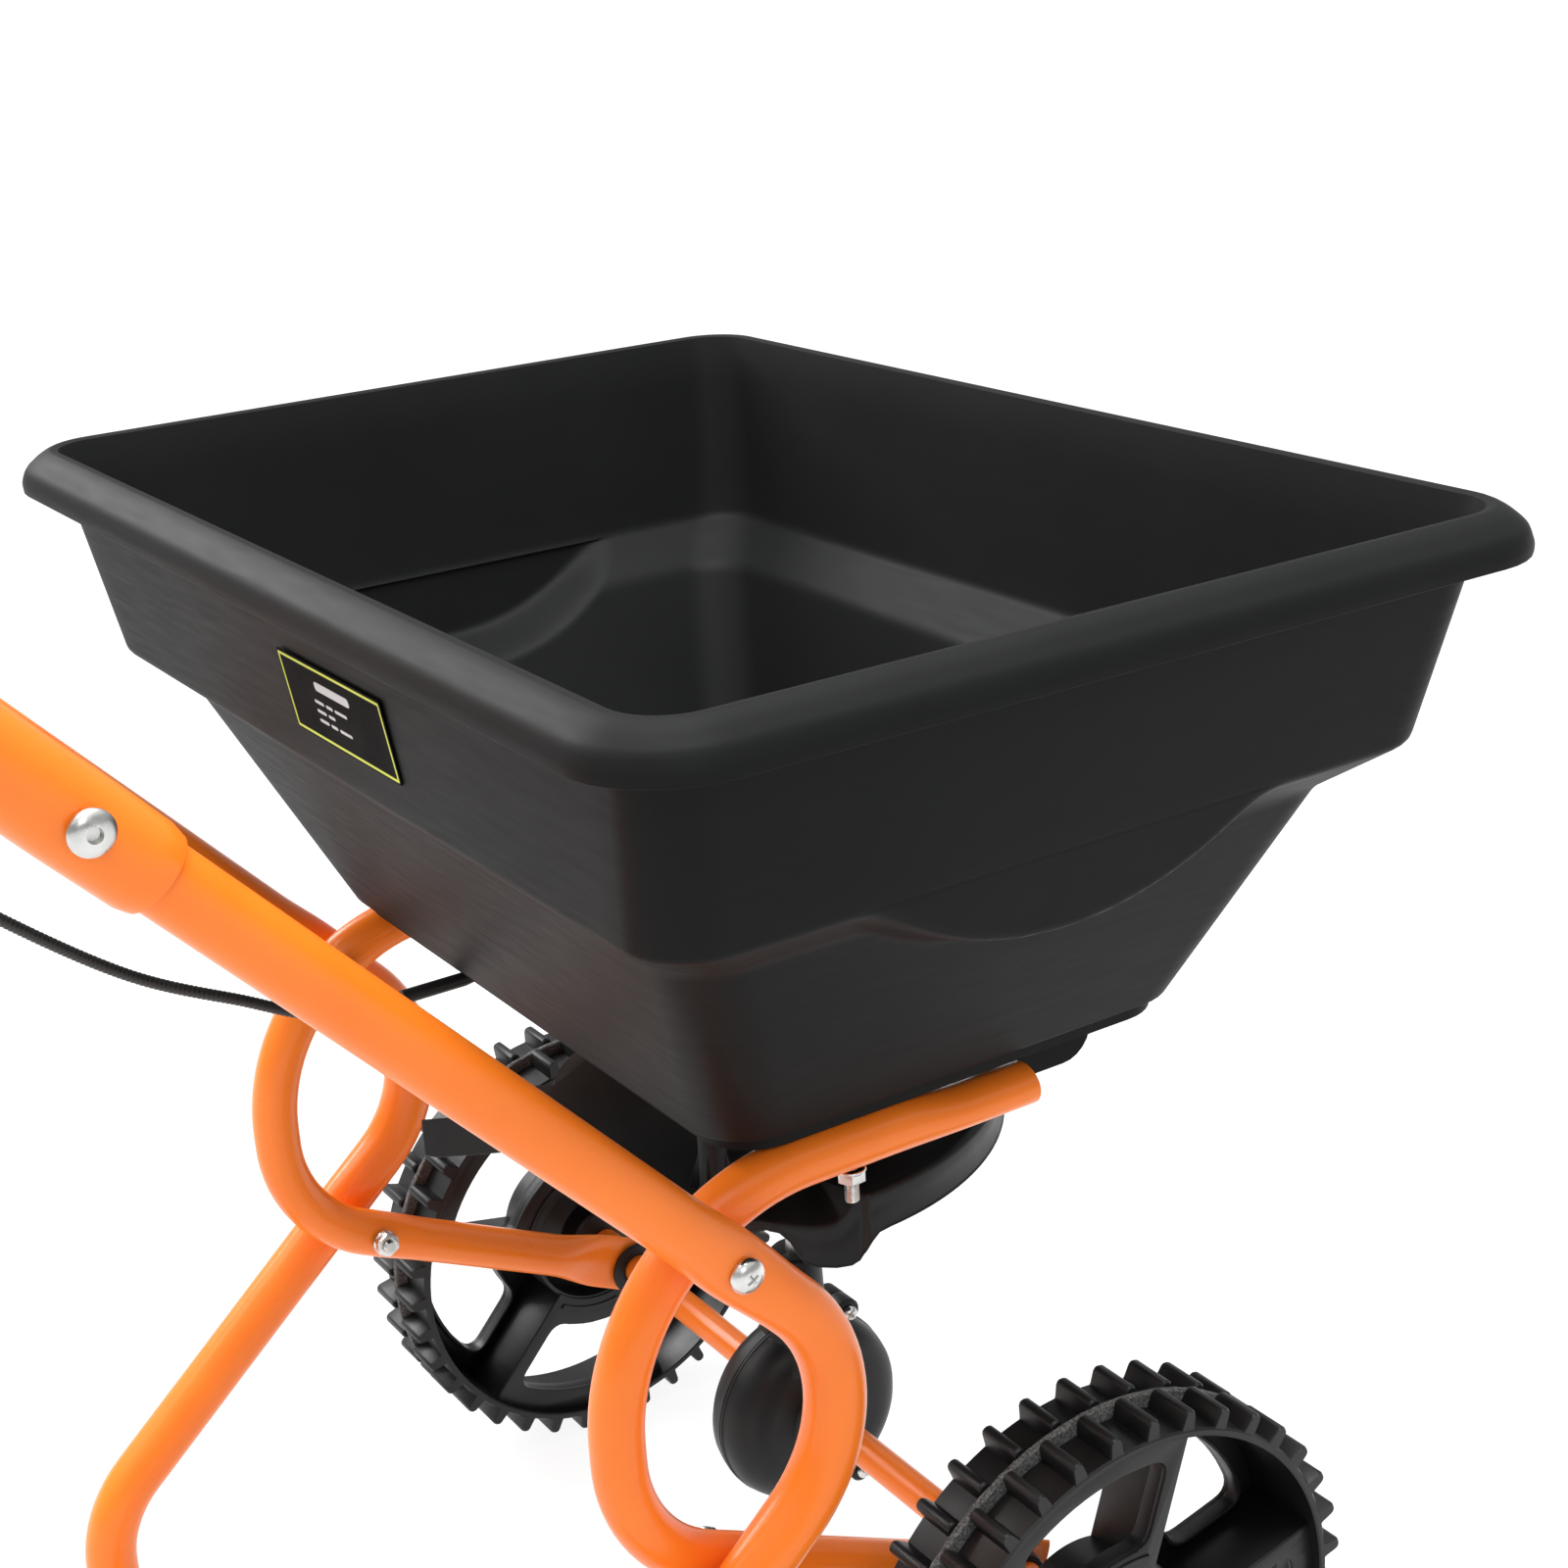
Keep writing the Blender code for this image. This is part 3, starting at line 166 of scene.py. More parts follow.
def plastic(name, low, high, roughness, grain, strength, flow=None, gloss=0.5):
    """Moulded plastic: fine grain, cloudy colour and, on big mouldings, faint flow streaks."""
    mat, tree, shader, where = new_material(name, low, roughness)
    shader.inputs["Specular IOR Level"].default_value = gloss
    cloud = noise(tree, where, 9.0, 3.0)
    tree.links.new(blend_colour(tree, ramp(tree, cloud, 0.0, 1.0), low, high), shader.inputs["Base Color"])
    fine = noise(tree, where, grain, 3.0)
    rub = noise(tree, where, 60.0, 5.0, stretch=flow) if flow else noise(tree, where, 45.0, 5.0)
    spread = 0.5 if flow else 1.0
    tree.links.new(ramp(tree, rub, roughness - 0.06 * spread, roughness + 0.08 * spread), shader.inputs["Roughness"])
    bump(tree, shader, add_values(tree, fine, rub, 0.03 if flow else 0.6), strength, 0.0003)
    return mat


def make_paint():
    """Orange powder coat: gloss over a faint orange-peel skin."""
    mat, tree, shader, where = new_material("orange_powder_coat", (0.93, 0.19, 0.020), 0.34,
                                            coat=0.22, coat_roughness=0.14)
    shader.inputs["Specular IOR Level"].default_value = 0.28
    cloud = noise(tree, where, 14.0, 3.0)
    colour = blend_colour(tree, ramp(tree, cloud, 0.0, 1.0), (0.93, 0.192, 0.013), (0.98, 0.220, 0.018))
    tree.links.new(colour, shader.inputs["Base Color"])
    peel = noise(tree, where, 420.0, 2.0)
    tree.links.new(ramp(tree, noise(tree, where, 35.0), 0.27, 0.37), shader.inputs["Roughness"])
    bump(tree, shader, peel, 0.16, 0.0004)
    return mat


def make_metal(name, colour, roughness, scratch=(1.0, 1.0, 1.0), scale=180.0, strength=0.12):
    mat, tree, shader, where = new_material(name, colour, roughness, metallic=1.0)
    lines = noise(tree, where, scale, 5.0, stretch=scratch)
    dull = tuple(c * 0.72 for c in colour)
    tree.links.new(blend_colour(tree, ramp(tree, noise(tree, where, 70.0), 0.0, 1.0), dull, colour),
                   shader.inputs["Base Color"])
    tree.links.new(ramp(tree, lines, roughness - 0.08, roughness + 0.14), shader.inputs["Roughness"])
    bump(tree, shader, lines, strength, 0.0002)
    return mat


def make_rubber(name, low, high):
    mat, tree, shader, where = new_material(name, low, 0.78)
    tree.links.new(blend_colour(tree, ramp(tree, noise(tree, where, 26.0, 5.0), 0.0, 1.0), low, high),
                   shader.inputs["Base Color"])
    tree.links.new(ramp(tree, noise(tree, where, 120.0), 0.68, 0.88), shader.inputs["Roughness"])
    bump(tree, shader, noise(tree, where, 1500.0, 2.0), 0.35, 0.0003)
    return mat


def make_scuffed_rib():
    """The wheel's parting rib: scuffed pale by the ground, with gritty specks."""
    mat, tree, shader, where = new_material("scuffed_rib", (0.10, 0.10, 0.10), 0.85)
    grit = noise(tree, where, 900.0, 4.0, 0.7)
    colour = blend_colour(tree, ramp(tree, grit, 0.0, 1.0, 0.42, 0.66), (0.040, 0.040, 0.039), (0.20, 0.20, 0.195))
    tree.links.new(colour, shader.inputs["Base Color"])
    bump(tree, shader, grit, 0.6, 0.0006)
    return mat


PAINT = make_paint()
HOPPER = plastic("hopper_plastic", (0.0092, 0.0096, 0.0096), (0.0112, 0.0116, 0.0116), 0.46, 1500.0, 0.05,
                 flow=(0.5, 0.5, 6.0), gloss=0.055)
WHEEL = plastic("wheel_plastic", (0.0045, 0.0045, 0.0048), (0.0085, 0.0085, 0.0088), 0.40, 900.0, 0.14, gloss=0.35)
SHROUD = plastic("shroud_plastic", (0.0050, 0.0050, 0.0052), (0.0085, 0.0085, 0.0088), 0.42, 1100.0, 0.12, gloss=0.30)
RIB = make_scuffed_rib()
ZINC = make_metal("zinc_plate", (0.78, 0.78, 0.76), 0.24)
STEEL = make_metal("drawn_steel", (0.58, 0.58, 0.57), 0.32, scratch=(14.0, 14.0, 1.0))
RUBBER = make_rubber("grip_rubber", (0.010, 0.010, 0.010), (0.020, 0.020, 0.020))
SHEATH = plastic("cable_sheath", (0.008, 0.008, 0.008), (0.014, 0.014, 0.014), 0.42, 1200.0, 0.12)
NYLON = plastic("natural_nylon", (0.60, 0.58, 0.50), (0.70, 0.68, 0.60), 0.48, 700.0, 0.10)
LABEL_BLACK = plastic("label_black", (0.0040, 0.0040, 0.0040), (0.0055, 0.0055, 0.0055), 0.55, 600.0, 0.05,
                      gloss=0.02)
LABEL_GREEN = plastic("label_green", (0.50, 0.55, 0.015), (0.60, 0.66, 0.025), 0.38, 600.0, 0.05)
LABEL_GREY = plastic("label_grey", (0.42, 0.42, 0.42), (0.55, 0.55, 0.55), 0.38, 600.0, 0.05)

# ---- mesh helpers ---------------------------------------------------------------


def place(obj, mat, body, *nodes, sharp=38.0):
    """Finish a piece: material, shading, its body and the CAD nodes it stands for."""
    obj.data.materials.clear()
    obj.data.materials.append(mat)
    obj.data.shade_smooth()
    obj.data.set_sharp_from_angle(angle=math.radians(sharp))
    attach(obj, body)
    if nodes:
        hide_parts(*nodes)
    return obj


def link(name, mesh):
    obj = bpy.data.objects.new(name, mesh)
    bpy.context.scene.collection.objects.link(obj)
    return obj


def from_bmesh(name, bm, recalc=True):
    if recalc:
        bmesh.ops.recalc_face_normals(bm, faces=bm.faces)
    mesh = bpy.data.meshes.new(name)
    bm.to_mesh(mesh)
    bm.free()
    return link(name, mesh)


def applied(obj):
    """Apply the object's modifiers."""
    graph = bpy.context.evaluated_depsgraph_get()
    mesh = bpy.data.meshes.new_from_object(obj.evaluated_get(graph))
    old = obj.data
    obj.modifiers.clear()
    obj.data = mesh
    bpy.data.meshes.remove(old)
    return obj


def bevel(obj, width, segments=2, angle=35.0):
    mod = obj.modifiers.new("edges", "BEVEL")
    mod.width = width
    mod.segments = segments
    mod.limit_method = "ANGLE"
    mod.angle_limit = math.radians(angle)
    mod.harden_normals = False
    return applied(obj)


def cut(obj, cutter, operation="DIFFERENCE"):
    mod = obj.modifiers.new("cut", "BOOLEAN")
    mod.operation = operation
    mod.solver = "EXACT"
    mod.object = cutter
    bpy.context.view_layer.update()
    applied(obj)
    bpy.data.objects.remove(cutter, do_unlink=True)
    return obj


def joined(name, objects):
    """Join meshes into one object, by hand so that nothing depends on selection."""
    bm = bmesh.new()
    for obj in objects:
        part = obj.data.copy()
        part.transform(obj.matrix_world)
        bm.from_mesh(part)
        bpy.data.meshes.remove(part)
        bpy.data.objects.remove(obj, do_unlink=True)
    return from_bmesh(name, bm, recalc=False)


def stand(obj, centre, axis):
    """Turn a piece made along local Z to the axis and move it to the centre."""
    turn = Z_AXIS.rotation_difference(Vector(axis)).to_matrix().to_4x4()
    obj.data.transform(Matrix.Translation(Vector(centre)) @ turn)
    return obj


def box_of(node):
    """Lowest corner, highest corner and middle of a node."""
    low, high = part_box(node)
    return low, high, (low + high) / 2


def cube(name, matrix):
    bm = bmesh.new()
    bmesh.ops.create_cube(bm, size=1.0)
    bm.transform(matrix)
    return from_bmesh(name, bm)


def loft(name, rings, caps=True, matrix=None, recalc=True):
    """A skin through rings of points, closed with a face at each end or by joining the ends."""
    bm = bmesh.new()
    rings = [[bm.verts.new(point) for point in ring] for ring in rings]
    for low, high in zip(rings, rings[1:] if caps else rings[1:] + rings[:1]):
        bridge(bm, low, high)
    if caps:
        bm.faces.new(rings[0])
        bm.faces.new(rings[-1])
    if not recalc:
        bmesh.ops.recalc_face_normals(bm, faces=bm.faces)
    if matrix:
        bm.transform(matrix)
    return from_bmesh(name, bm, recalc)


def lathe(name, profile, centre=(0, 0, 0), axis=(0, 0, 1), steps=64, closed=True):
    """Turn a (radius, height) profile about an axis. Points on the axis close it."""
    bm = bmesh.new()
    rings = []
    for radius, height in profile:
        if radius < 1e-6:
            rings.append([bm.verts.new((0, 0, height))])
            continue
        angles = [2 * math.pi * k / steps for k in range(steps)]
        rings.append([bm.verts.new((radius * math.cos(a), radius * math.sin(a), height)) for a in angles])
    pairs = list(zip(rings, rings[1:]))
    if closed and len(rings[0]) > 1 and len(rings[-1]) > 1:
        pairs.append((rings[-1], rings[0]))
    for low, high in pairs:
        bridge(bm, low, high)
    return stand(from_bmesh(name, bm), centre, axis)


def bridge(bm, low, high):
    count = max(len(low), len(high))
    for k in range(count):
        n = (k + 1) % count
        if len(low) == 1 and len(high) == 1:
            return
        if len(low) == 1:
            bm.faces.new((low[0], high[k], high[n]))
        elif len(high) == 1:
            bm.faces.new((low[k], low[n], high[0]))
        else:
            bm.faces.new((low[k], low[n], high[n], high[k]))


def soften(points, radius, steps=4, closed=False):
    """Round the corners of a 2D or 3D polyline with short curves of about this reach."""
    points = [Vector(p) for p in points]
    out = []
    count = len(points)
    for k, point in enumerate(points):
        if not closed and k in (0, count - 1):
            out.append(point)
            continue
        before, after = points[k - 1], points[(k + 1) % count]
        into, away = before - point, after - point
        start = point + into.normalized() * min(radius, into.length * 0.48)
        end = point + away.normalized() * min(radius, away.length * 0.48)
        for s in range(steps + 1):
            t = s / steps
            out.append(start * (1 - t) ** 2 + point * 2 * t * (1 - t) + end * t ** 2)
    return out


def fillet_path(corners, radii, step):
    """Points of a path with each corner rounded to its radius and straights cut to the step."""
    path = [Vector(corners[0])]
    for before, corner, after, radius in zip(corners, corners[1:], corners[2:], radii):
        before, corner, after = Vector(before), Vector(corner), Vector(after)
        into, out = (corner - before).normalized(), (after - corner).normalized()
        turn = into.angle(out)
        start = corner - into * radius * math.tan(turn / 2)
        normal = into.cross(out).normalized()
        centre = start + normal.cross(into) * radius
        count = max(4, round(turn * radius / step))
        for k in range(count + 1):
            path.append(centre + Matrix.Rotation(turn * k / count, 3, normal) @ (start - centre))
    path.append(Vector(corners[-1]))
    dense = [path[0]]
    for first, second in zip(path, path[1:]):
        pieces = max(1, round((second - first).length / step))
        dense += [first.lerp(second, k / pieces) for k in range(1, pieces + 1)]
    return dense


def sweep(name, path, normal, size, sides=40):
    """Sweep an oval along a flat path. normal is square to the path's plane, and size(k) gives
    the oval's half widths along the normal and across it at point k."""
    rings = []
    for k, point in enumerate(path):
        tangent = (path[min(k + 1, len(path) - 1)] - path[max(k - 1, 0)]).normalized()
        side = normal.cross(tangent).normalized()
        half_normal, half_side = size(k)
        ring = []
        for s in range(sides):
            a = 2 * math.pi * s / sides
            ring.append(point + normal * half_normal * math.cos(a) + side * half_side * math.sin(a))
        rings.append(ring)
    return loft(name, rings)


def plate(name, loops, thickness, matrix, round_edge=0.0, segments=2):
    """A flat plate from closed 2D loops, centred on its plane."""
    curve = bpy.data.curves.new(name, "CURVE")
    curve.dimensions = "2D"
    curve.fill_mode = "BOTH"
    curve.extrude = thickness / 2
    for loop in loops:
        spline = curve.splines.new("POLY")
        spline.points.add(len(loop) - 1)
        spline.use_cyclic_u = True
        for target, point in zip(spline.points, loop):
            target.co = (point[0], point[1], 0.0, 1.0)
    source = link(name, curve)
    mesh = bpy.data.meshes.new_from_object(source.evaluated_get(bpy.context.evaluated_depsgraph_get()))
    bpy.data.objects.remove(source, do_unlink=True)
    bm = bmesh.new()
    bm.from_mesh(mesh)
    bpy.data.meshes.remove(mesh)
    bmesh.ops.remove_doubles(bm, verts=bm.verts, dist=0.00001)
    bmesh.ops.dissolve_limit(bm, angle_limit=0.002, verts=bm.verts, edges=bm.edges)
    obj = from_bmesh(name, bm)
    obj.data.transform(matrix)
    return bevel(obj, round_edge, segments) if round_edge else obj


def arc(radius, count, start, sweep_angle, centre=(0.0, 0.0)):
    return [(centre[0] + radius * math.cos(start + sweep_angle * k / (count - 1)),
             centre[1] + radius * math.sin(start + sweep_angle * k / (count - 1))) for k in range(count)]


def circle(radius, count=40, centre=(0.0, 0.0)):
    return arc(radius, count + 1, 0.0, 2 * math.pi, centre)[:-1]


def smooth_step(value):
    value = min(1.0, max(0.0, value))
    return value * value * (3 - 2 * value)


# ---- hopper ---------------------------------------------------------------------
LEDGE_Z = RIM_Z - 0.095
SEAM_Z = FLOOR_Z + 0.0074
# Each key: half width X, half depth Y, centre Y, corner radius, height, rounding.
OUTER_KEYS = [
    (0.1700, 0.1105, 0.0065, 0.0240, FLOOR_Z, 0.0012),
    (0.1707, 0.1115, 0.0065, 0.0245, SEAM_Z - 0.0008, 0.0004),
    (0.1752, 0.1168, 0.0062, 0.0262, SEAM_Z, 0.0010),
    (0.2310, 0.1550, 0.0000, 0.0270, RIM_Z - 0.1140, 0.0050),
    (0.2570, 0.1780, 0.0000, 0.0265, LEDGE_Z, 0.0030),
    (0.2768, 0.1912, 0.0000, 0.0232, RIM_Z - 0.0064, 0.0020),
]
# The rolled rim: distance outside the rim's inner edge and drop below its top.
RIM_KEYS = [
    (0.0020, 0.0058, 0.0010), (0.0090, 0.0084, 0.0020), (0.0150, 0.0128, 0.0020), (0.0168, 0.0168, 0.0008),
    (0.0172, 0.0187, 0.0006), (0.0186, 0.0187, 0.0006), (0.0190, 0.0148, 0.0020), (0.0168, 0.0084, 0.0040),
    (0.0092, 0.0022, 0.0048), (0.0042, 0.0000, 0.0022), (0.0006, 0.0010, 0.0014),
]
INNER_KEYS = [
    (0.2728, 0.1868, 0.0000, 0.0205, RIM_Z - 0.0120, 0.0040),
    (0.2538, 0.1750, 0.0000, 0.0235, LEDGE_Z + 0.0016, 0.0035),
    (0.2282, 0.1524, 0.0000, 0.0240, RIM_Z - 0.1125, 0.0050),
    (0.1724, 0.1140, 0.0062, 0.0235, SEAM_Z + 0.0016, 0.0015),
    (0.1680, 0.1088, 0.0065, 0.0220, SEAM_Z - 0.0015, 0.0015),
    (0.1670, 0.1075, 0.0065, 0.0210, FLOOR_Z + 0.0030, 0.0030),
    (0.0600, 0.0500, 0.0100, 0.0120, FLOOR_Z + 0.0030, 0.0000),
    (0.0600, 0.0500, 0.0100, 0.0120, FLOOR_Z, 0.0000),
]
APRON_CENTRE = (-0.0030, RIM_Z + 0.0016)     # local Y, Z of the half-round panel on each side
APRON_RADIUS = 0.1300
APRON_BLEND = 0.0120


def key_path(keys, step, fine=None):
    """Rings between the keys, each corner of the path rounded, at about the step apart."""
    points = []
    for k, key in enumerate(keys):
        here = Vector(key[:5])
        if k in (0, len(keys) - 1) or key[5] == 0.0:
            points.append(here)
            continue
        into, away = Vector(keys[k - 1][:5]) - here, Vector(keys[k + 1][:5]) - here
        start = here + into * min(1.0, key[5] / max(into.length, 1e-9)) * 0.98
        end = here + away * min(1.0, key[5] / max(away.length, 1e-9)) * 0.98
        points += [start * (1 - t) ** 2 + here * (2 * t * (1 - t)) + end * t ** 2
                   for t in (0.0, 0.17, 0.33, 0.5, 0.67, 0.83, 1.0)]
    dense = [points[0]]
    for first, second in zip(points, points[1:]):
        span = step
        if fine and min(first[4], second[4]) < fine[1] and max(first[4], second[4]) > fine[0]:
            span = fine[2]
        pieces = max(1, math.ceil((second - first).length / span))
        dense += [first.lerp(second, n / pieces) for n in range(1, pieces + 1)]
    return dense


def hopper_ring(key, wall, along=84, across=40, corner_steps=9):
    """One closed ring of hopper points. wall is how far the surface is inside the outer one."""
    hx, hy, cy, corner, z = key
    inner_y, inner_x = hy - corner, hx - corner
    ring = []
    for side in (1, -1):
        for k in range(along):
            y = side * inner_y * (2 * k / along - 1)
            ring.append((side * side_face(hx, y + cy, z, wall), y + cy, z))
        for k in range(corner_steps):
            a = math.pi / 2 * k / corner_steps + (0 if side > 0 else math.pi)
            ring.append((side * inner_x + corner * math.cos(a), cy + side * inner_y + corner * math.sin(a), z))
        for k in range(across):
            ring.append((side * inner_x * (1 - 2 * k / across), cy + side * hy, z))
        for k in range(corner_steps):
            a = math.pi / 2 * (1 + k / corner_steps) + (0 if side > 0 else math.pi)
            ring.append((-side * inner_x + corner * math.cos(a), cy + side * inner_y + corner * math.sin(a), z))
    return ring


def side_face(half_x, y, z, wall):
    """Half width of a side face. The half-round panel carries the upper wall's plane down."""
    if z > LEDGE_Z + 0.001:
        return half_x
    plane = 0.2570 + 0.22 * (z - LEDGE_Z) - wall
    reach = math.hypot(y - APRON_CENTRE[0], z - APRON_CENTRE[1]) - (APRON_RADIUS - wall * 0.5)
    weight = 1.0 - smooth_step(reach / APRON_BLEND + 0.15)
    return half_x + max(0.0, plane - half_x) * weight


def make_hopper():
    fine = (RIM_Z - 0.150, LEDGE_Z, 0.0022)
    outer = [(key, 0.0) for key in key_path(OUTER_KEYS, 0.012, fine)]
    rim = []
    for k, (out, drop, _) in enumerate(RIM_KEYS):
        corner = RIM_CORNER + out
        rim.append((RIM_HALF_X + out, RIM_HALF_Y + out, 0.0, corner, RIM_Z - drop, RIM_KEYS[k][2]))
    rim_rings = [(key, 0.0) for key in key_path(rim, 0.004)]
    inner = [(key, 0.0030) for key in key_path(INNER_KEYS, 0.012, fine)]
    rings = [[at(*point) for point in hopper_ring(key, wall)] for key, wall in outer + rim_rings + inner]
    obj = loft("hopper_shell", rings, caps=False)
    return place(obj, HOPPER, "frame", "hopper", sharp=50.0)


def make_label():
    """Blank data plate: black, a yellow-green edge line, a plain bar and rows of short dashes."""
    low, high, middle = box_of("rating_plate")
    lean = math.atan2(0.165, 1.0)
    base = Matrix.Translation(middle) @ Matrix.Rotation(math.pi / 2 + lean, 4, "X")
    half_x, half_y = (high.x - low.x) / 2 - 0.0002, 0.0176
    over = base @ Matrix.Translation((0, 0, 0.00032))

    def panel(x0, x1, y0, y1, radius):
        corners = [(x0, y0, 0.0), (x1, y0, 0.0), (x1, y1, 0.0), (x0, y1, 0.0)]
        return [tuple(p) for p in soften(corners, radius, 4, closed=True)]

    def inset(by, radius):
        return panel(-half_x + by, half_x - by, -half_y + by, half_y - by, radius)

    back = plate("label_plate", [inset(0.0, 0.0012)], 0.0006, base, 0.00012, 1)
    place(back, LABEL_BLACK, "frame", "rating_plate")
    edge = plate("label_edge_line", [inset(0.0010, 0.0008), inset(0.0022, 0.0006)[::-1]], 0.0002, over)
    place(edge, LABEL_GREEN, "frame")
    marks = [plate("bar", [panel(-0.0160, 0.0160, 0.0064, 0.0104, 0.0018)], 0.0002, over)]
    for row in range(3):
        x = -0.0200
        for length in (0.0085, 0.0060, 0.0110)[:3 - row % 2]:
            y = 0.0010 - 0.0042 * row
            marks.append(plate("dash", [panel(x, x + length, y - 0.0007, y + 0.0007, 0.0006)], 0.0002, over))
            x += length + 0.0022
    place(joined("label_marks", marks), LABEL_GREY, "frame")


# ---- frame tubes ------------------------------------------------------------------


def tube_size(path, radius, dents):
    """Half widths along a tube. A dent is (point, reach, scale across, scale in the plane)."""

    def size(k):
        across, inside = radius, radius
        for centre, reach, scale_across, scale_inside in dents:
            weight = 1.0 - smooth_step((path[k] - centre).length / reach)
            across *= 1 + (scale_across - 1) * weight
            inside *= 1 + (scale_inside - 1) * weight
        return across, inside

    return size


STEP = 0.005
SIDES = 40


def mirrored(obj, name):
    mesh = obj.data.copy()
    mesh.transform(Matrix.Diagonal((-1.0, 1.0, 1.0, 1.0)))
    mesh.flip_normals()
    return link(name, mesh)


def make_frame_tubes():
    corners = [at(FRAME_X, *p) for p in ((-0.3565, 0.5920), (-0.0494, 0.2620), (-0.2680, 0.0702), (-0.2680, 0.0040))]
    path = fillet_path(corners, (0.066, 0.060), STEP)
    dents = [(at(FRAME_X, *UPPER_CROSS), 0.034, 0.86, 1.10), (at(FRAME_X, *LOWER_CROSS), 0.028, 0.90, 1.07)]
    obj = sweep("frame_tube_right", path, X_AXIS, tube_size(path, FRAME_R - 0.0001, dents), SIDES)
    bevel(obj, 0.0008, 2)
    place(mirrored(obj, "frame_tube_left"), PAINT, "frame", "left_frame_tube")
    place(obj, PAINT, "frame", "right_frame_tube")


def make_support_tubes():
    corners = [at(SUPPORT_X, *p) for p in ((0.0400, 0.355), (-0.162, 0.355), (-0.162, 0.2118), (0.0415, 0.1102))]
    path = fillet_path(corners, (0.092, 0.070), STEP)
    end_way = (path[-1] - path[-8]).normalized()
    dents = [(at(SUPPORT_X, *UPPER_CROSS), 0.040, 0.84, 1.13), (at(SUPPORT_X, *LOWER_CROSS), 0.030, 0.88, 1.08)]
    size = tube_size(path, SUPPORT_R - 0.0001, dents)
    drop = at(0, -0.020, 0).y

    def shaped(k):
        across, inside = size(k)
        front = smooth_step((path[k].y - drop + 0.012) / 0.040) if path[k].z > AXLE.z + 0.15 else 0.0
        to_end = (path[-1] - path[k]).dot(end_way)
        at_axle = path[k].z < AXLE.z + 0.08 and path[k].y > at(0, -0.08, 0).y
        flat = smooth_step((0.070 - to_end) / 0.034) if at_axle else 0.0
        across *= 1 + (0.262 - 1) * flat
        inside *= 1 + (1.36 - 1) * flat
        return across, inside * (1 - 0.20 * front)

    for k, point in enumerate(path):
        if point.z > AXLE.z + 0.15:
            point.z -= (SUPPORT_R * 0.20) * smooth_step((point.y - drop + 0.012) / 0.040)
    obj = sweep("support_tube_right", path, X_AXIS, shaped, SIDES)
    centre = Vector((SUPPORT_X, AXLE.y, AXLE.z))
    cutter = lathe("bore", [(0.0, -0.02), (0.0112, -0.02), (0.0112, 0.02), (0.0, 0.02)], centre, X_AXIS, 40,
                   closed=False)
    cut(obj, cutter)
    bevel(obj, 0.0012, 3, 50.0)
    place(mirrored(obj, "support_tube_left"), PAINT, "frame", "left_support_tube")
    place(obj, PAINT, "frame", "right_support_tube")


def make_handle():
    """U-shaped handle whose ends sleeve over the lower tubes."""
    corners = [on_handle(0.0, 0.0, FRAME_X), on_handle(HANDLE_LENGTH, 0.0, FRAME_X),
               on_handle(HANDLE_LENGTH, 0.0, -FRAME_X), on_handle(0.0, 0.0, -FRAME_X)]
    path = fillet_path(corners, (HANDLE_CORNER, HANDLE_CORNER), STEP)
    bolts = [on_handle(0.032, 0.0, side * FRAME_X) for side in (1, -1)]
    dents = [(bolt, 0.030, 1.015, 0.955) for bolt in bolts]
    outer = tube_size(path, HANDLE_R - 0.0001, dents)
    bore_r, lip, depth = FRAME_R + 0.0007, 0.0012, 0.070
    rows = [(on_handle(depth, 0.0, FRAME_X), bore_r, bore_r), (on_handle(0.002, 0.0, FRAME_X), bore_r, bore_r),
            (on_handle(0.0, 0.0, FRAME_X), bore_r + lip * 0.5, bore_r + lip * 0.5)]
    first = len(rows)
    rows.append((on_handle(0.0, 0.0, FRAME_X), HANDLE_R - 0.0012, HANDLE_R - 0.0012))
    rows += [(point, *outer(k)) for k, point in enumerate(path[1:-1], 1)]
    rows.append((on_handle(0.0, 0.0, -FRAME_X), HANDLE_R - 0.0012, HANDLE_R - 0.0012))
    rows += [(Vector((-p.x, p.y, p.z)), a, b) for p, a, b in reversed(rows[:first])]
    rings = []
    for k, (point, across, inside) in enumerate(rows):
        if k <= first:
            tangent = UP
        elif k >= len(rows) - first - 1:
            tangent = -UP
        else:
            tangent = (rows[k + 1][0] - rows[k - 1][0]).normalized()
        side = OVER.cross(tangent).normalized()
        rings.append([point + OVER * across * math.cos(a) + side * inside * math.sin(a)
                      for a in (2 * math.pi * s / SIDES for s in range(SIDES))])
    place(loft("handle_tube", rings), PAINT, "frame", "upper_handle")


def make_bars():
    low, high, middle = box_of("stand_crossbar")
    r = (high.z - low.z) / 2
    profile = [(0.0, low.x), (r * 0.86, low.x), (r, low.x + 0.001), (r, high.x - 0.001), (r * 0.86, high.x), (0.0,
               high.x)]
    obj = lathe("stand_bar", profile, (0, middle.y, middle.z), X_AXIS, SIDES, closed=False)
    place(obj, PAINT, "frame", "stand_crossbar")
    low, high, middle = box_of("handle_brace")
    r = (high.z - low.z) / 2
    flat = 0.010
    rows = [low.x, low.x + flat, low.x + 3 * flat, 0.0, high.x - 3 * flat, high.x - flat, high.x]
    path = [Vector((x, middle.y, middle.z)) for x in rows]
    path = [path[0]] + [a.lerp(b, t / 6) for a, b in zip(path, path[1:]) for t in range(1, 7)]

    def size(k):
        near = smooth_step((abs(path[k].x) - high.x + 3 * flat) / (2 * flat))
        return r, r * (1 - 0.22 * near)

    obj = sweep("brace_tube", path, UP, size, SIDES)
    bevel(obj, 0.0007, 2)
    place(obj, PAINT, "frame", "handle_brace")


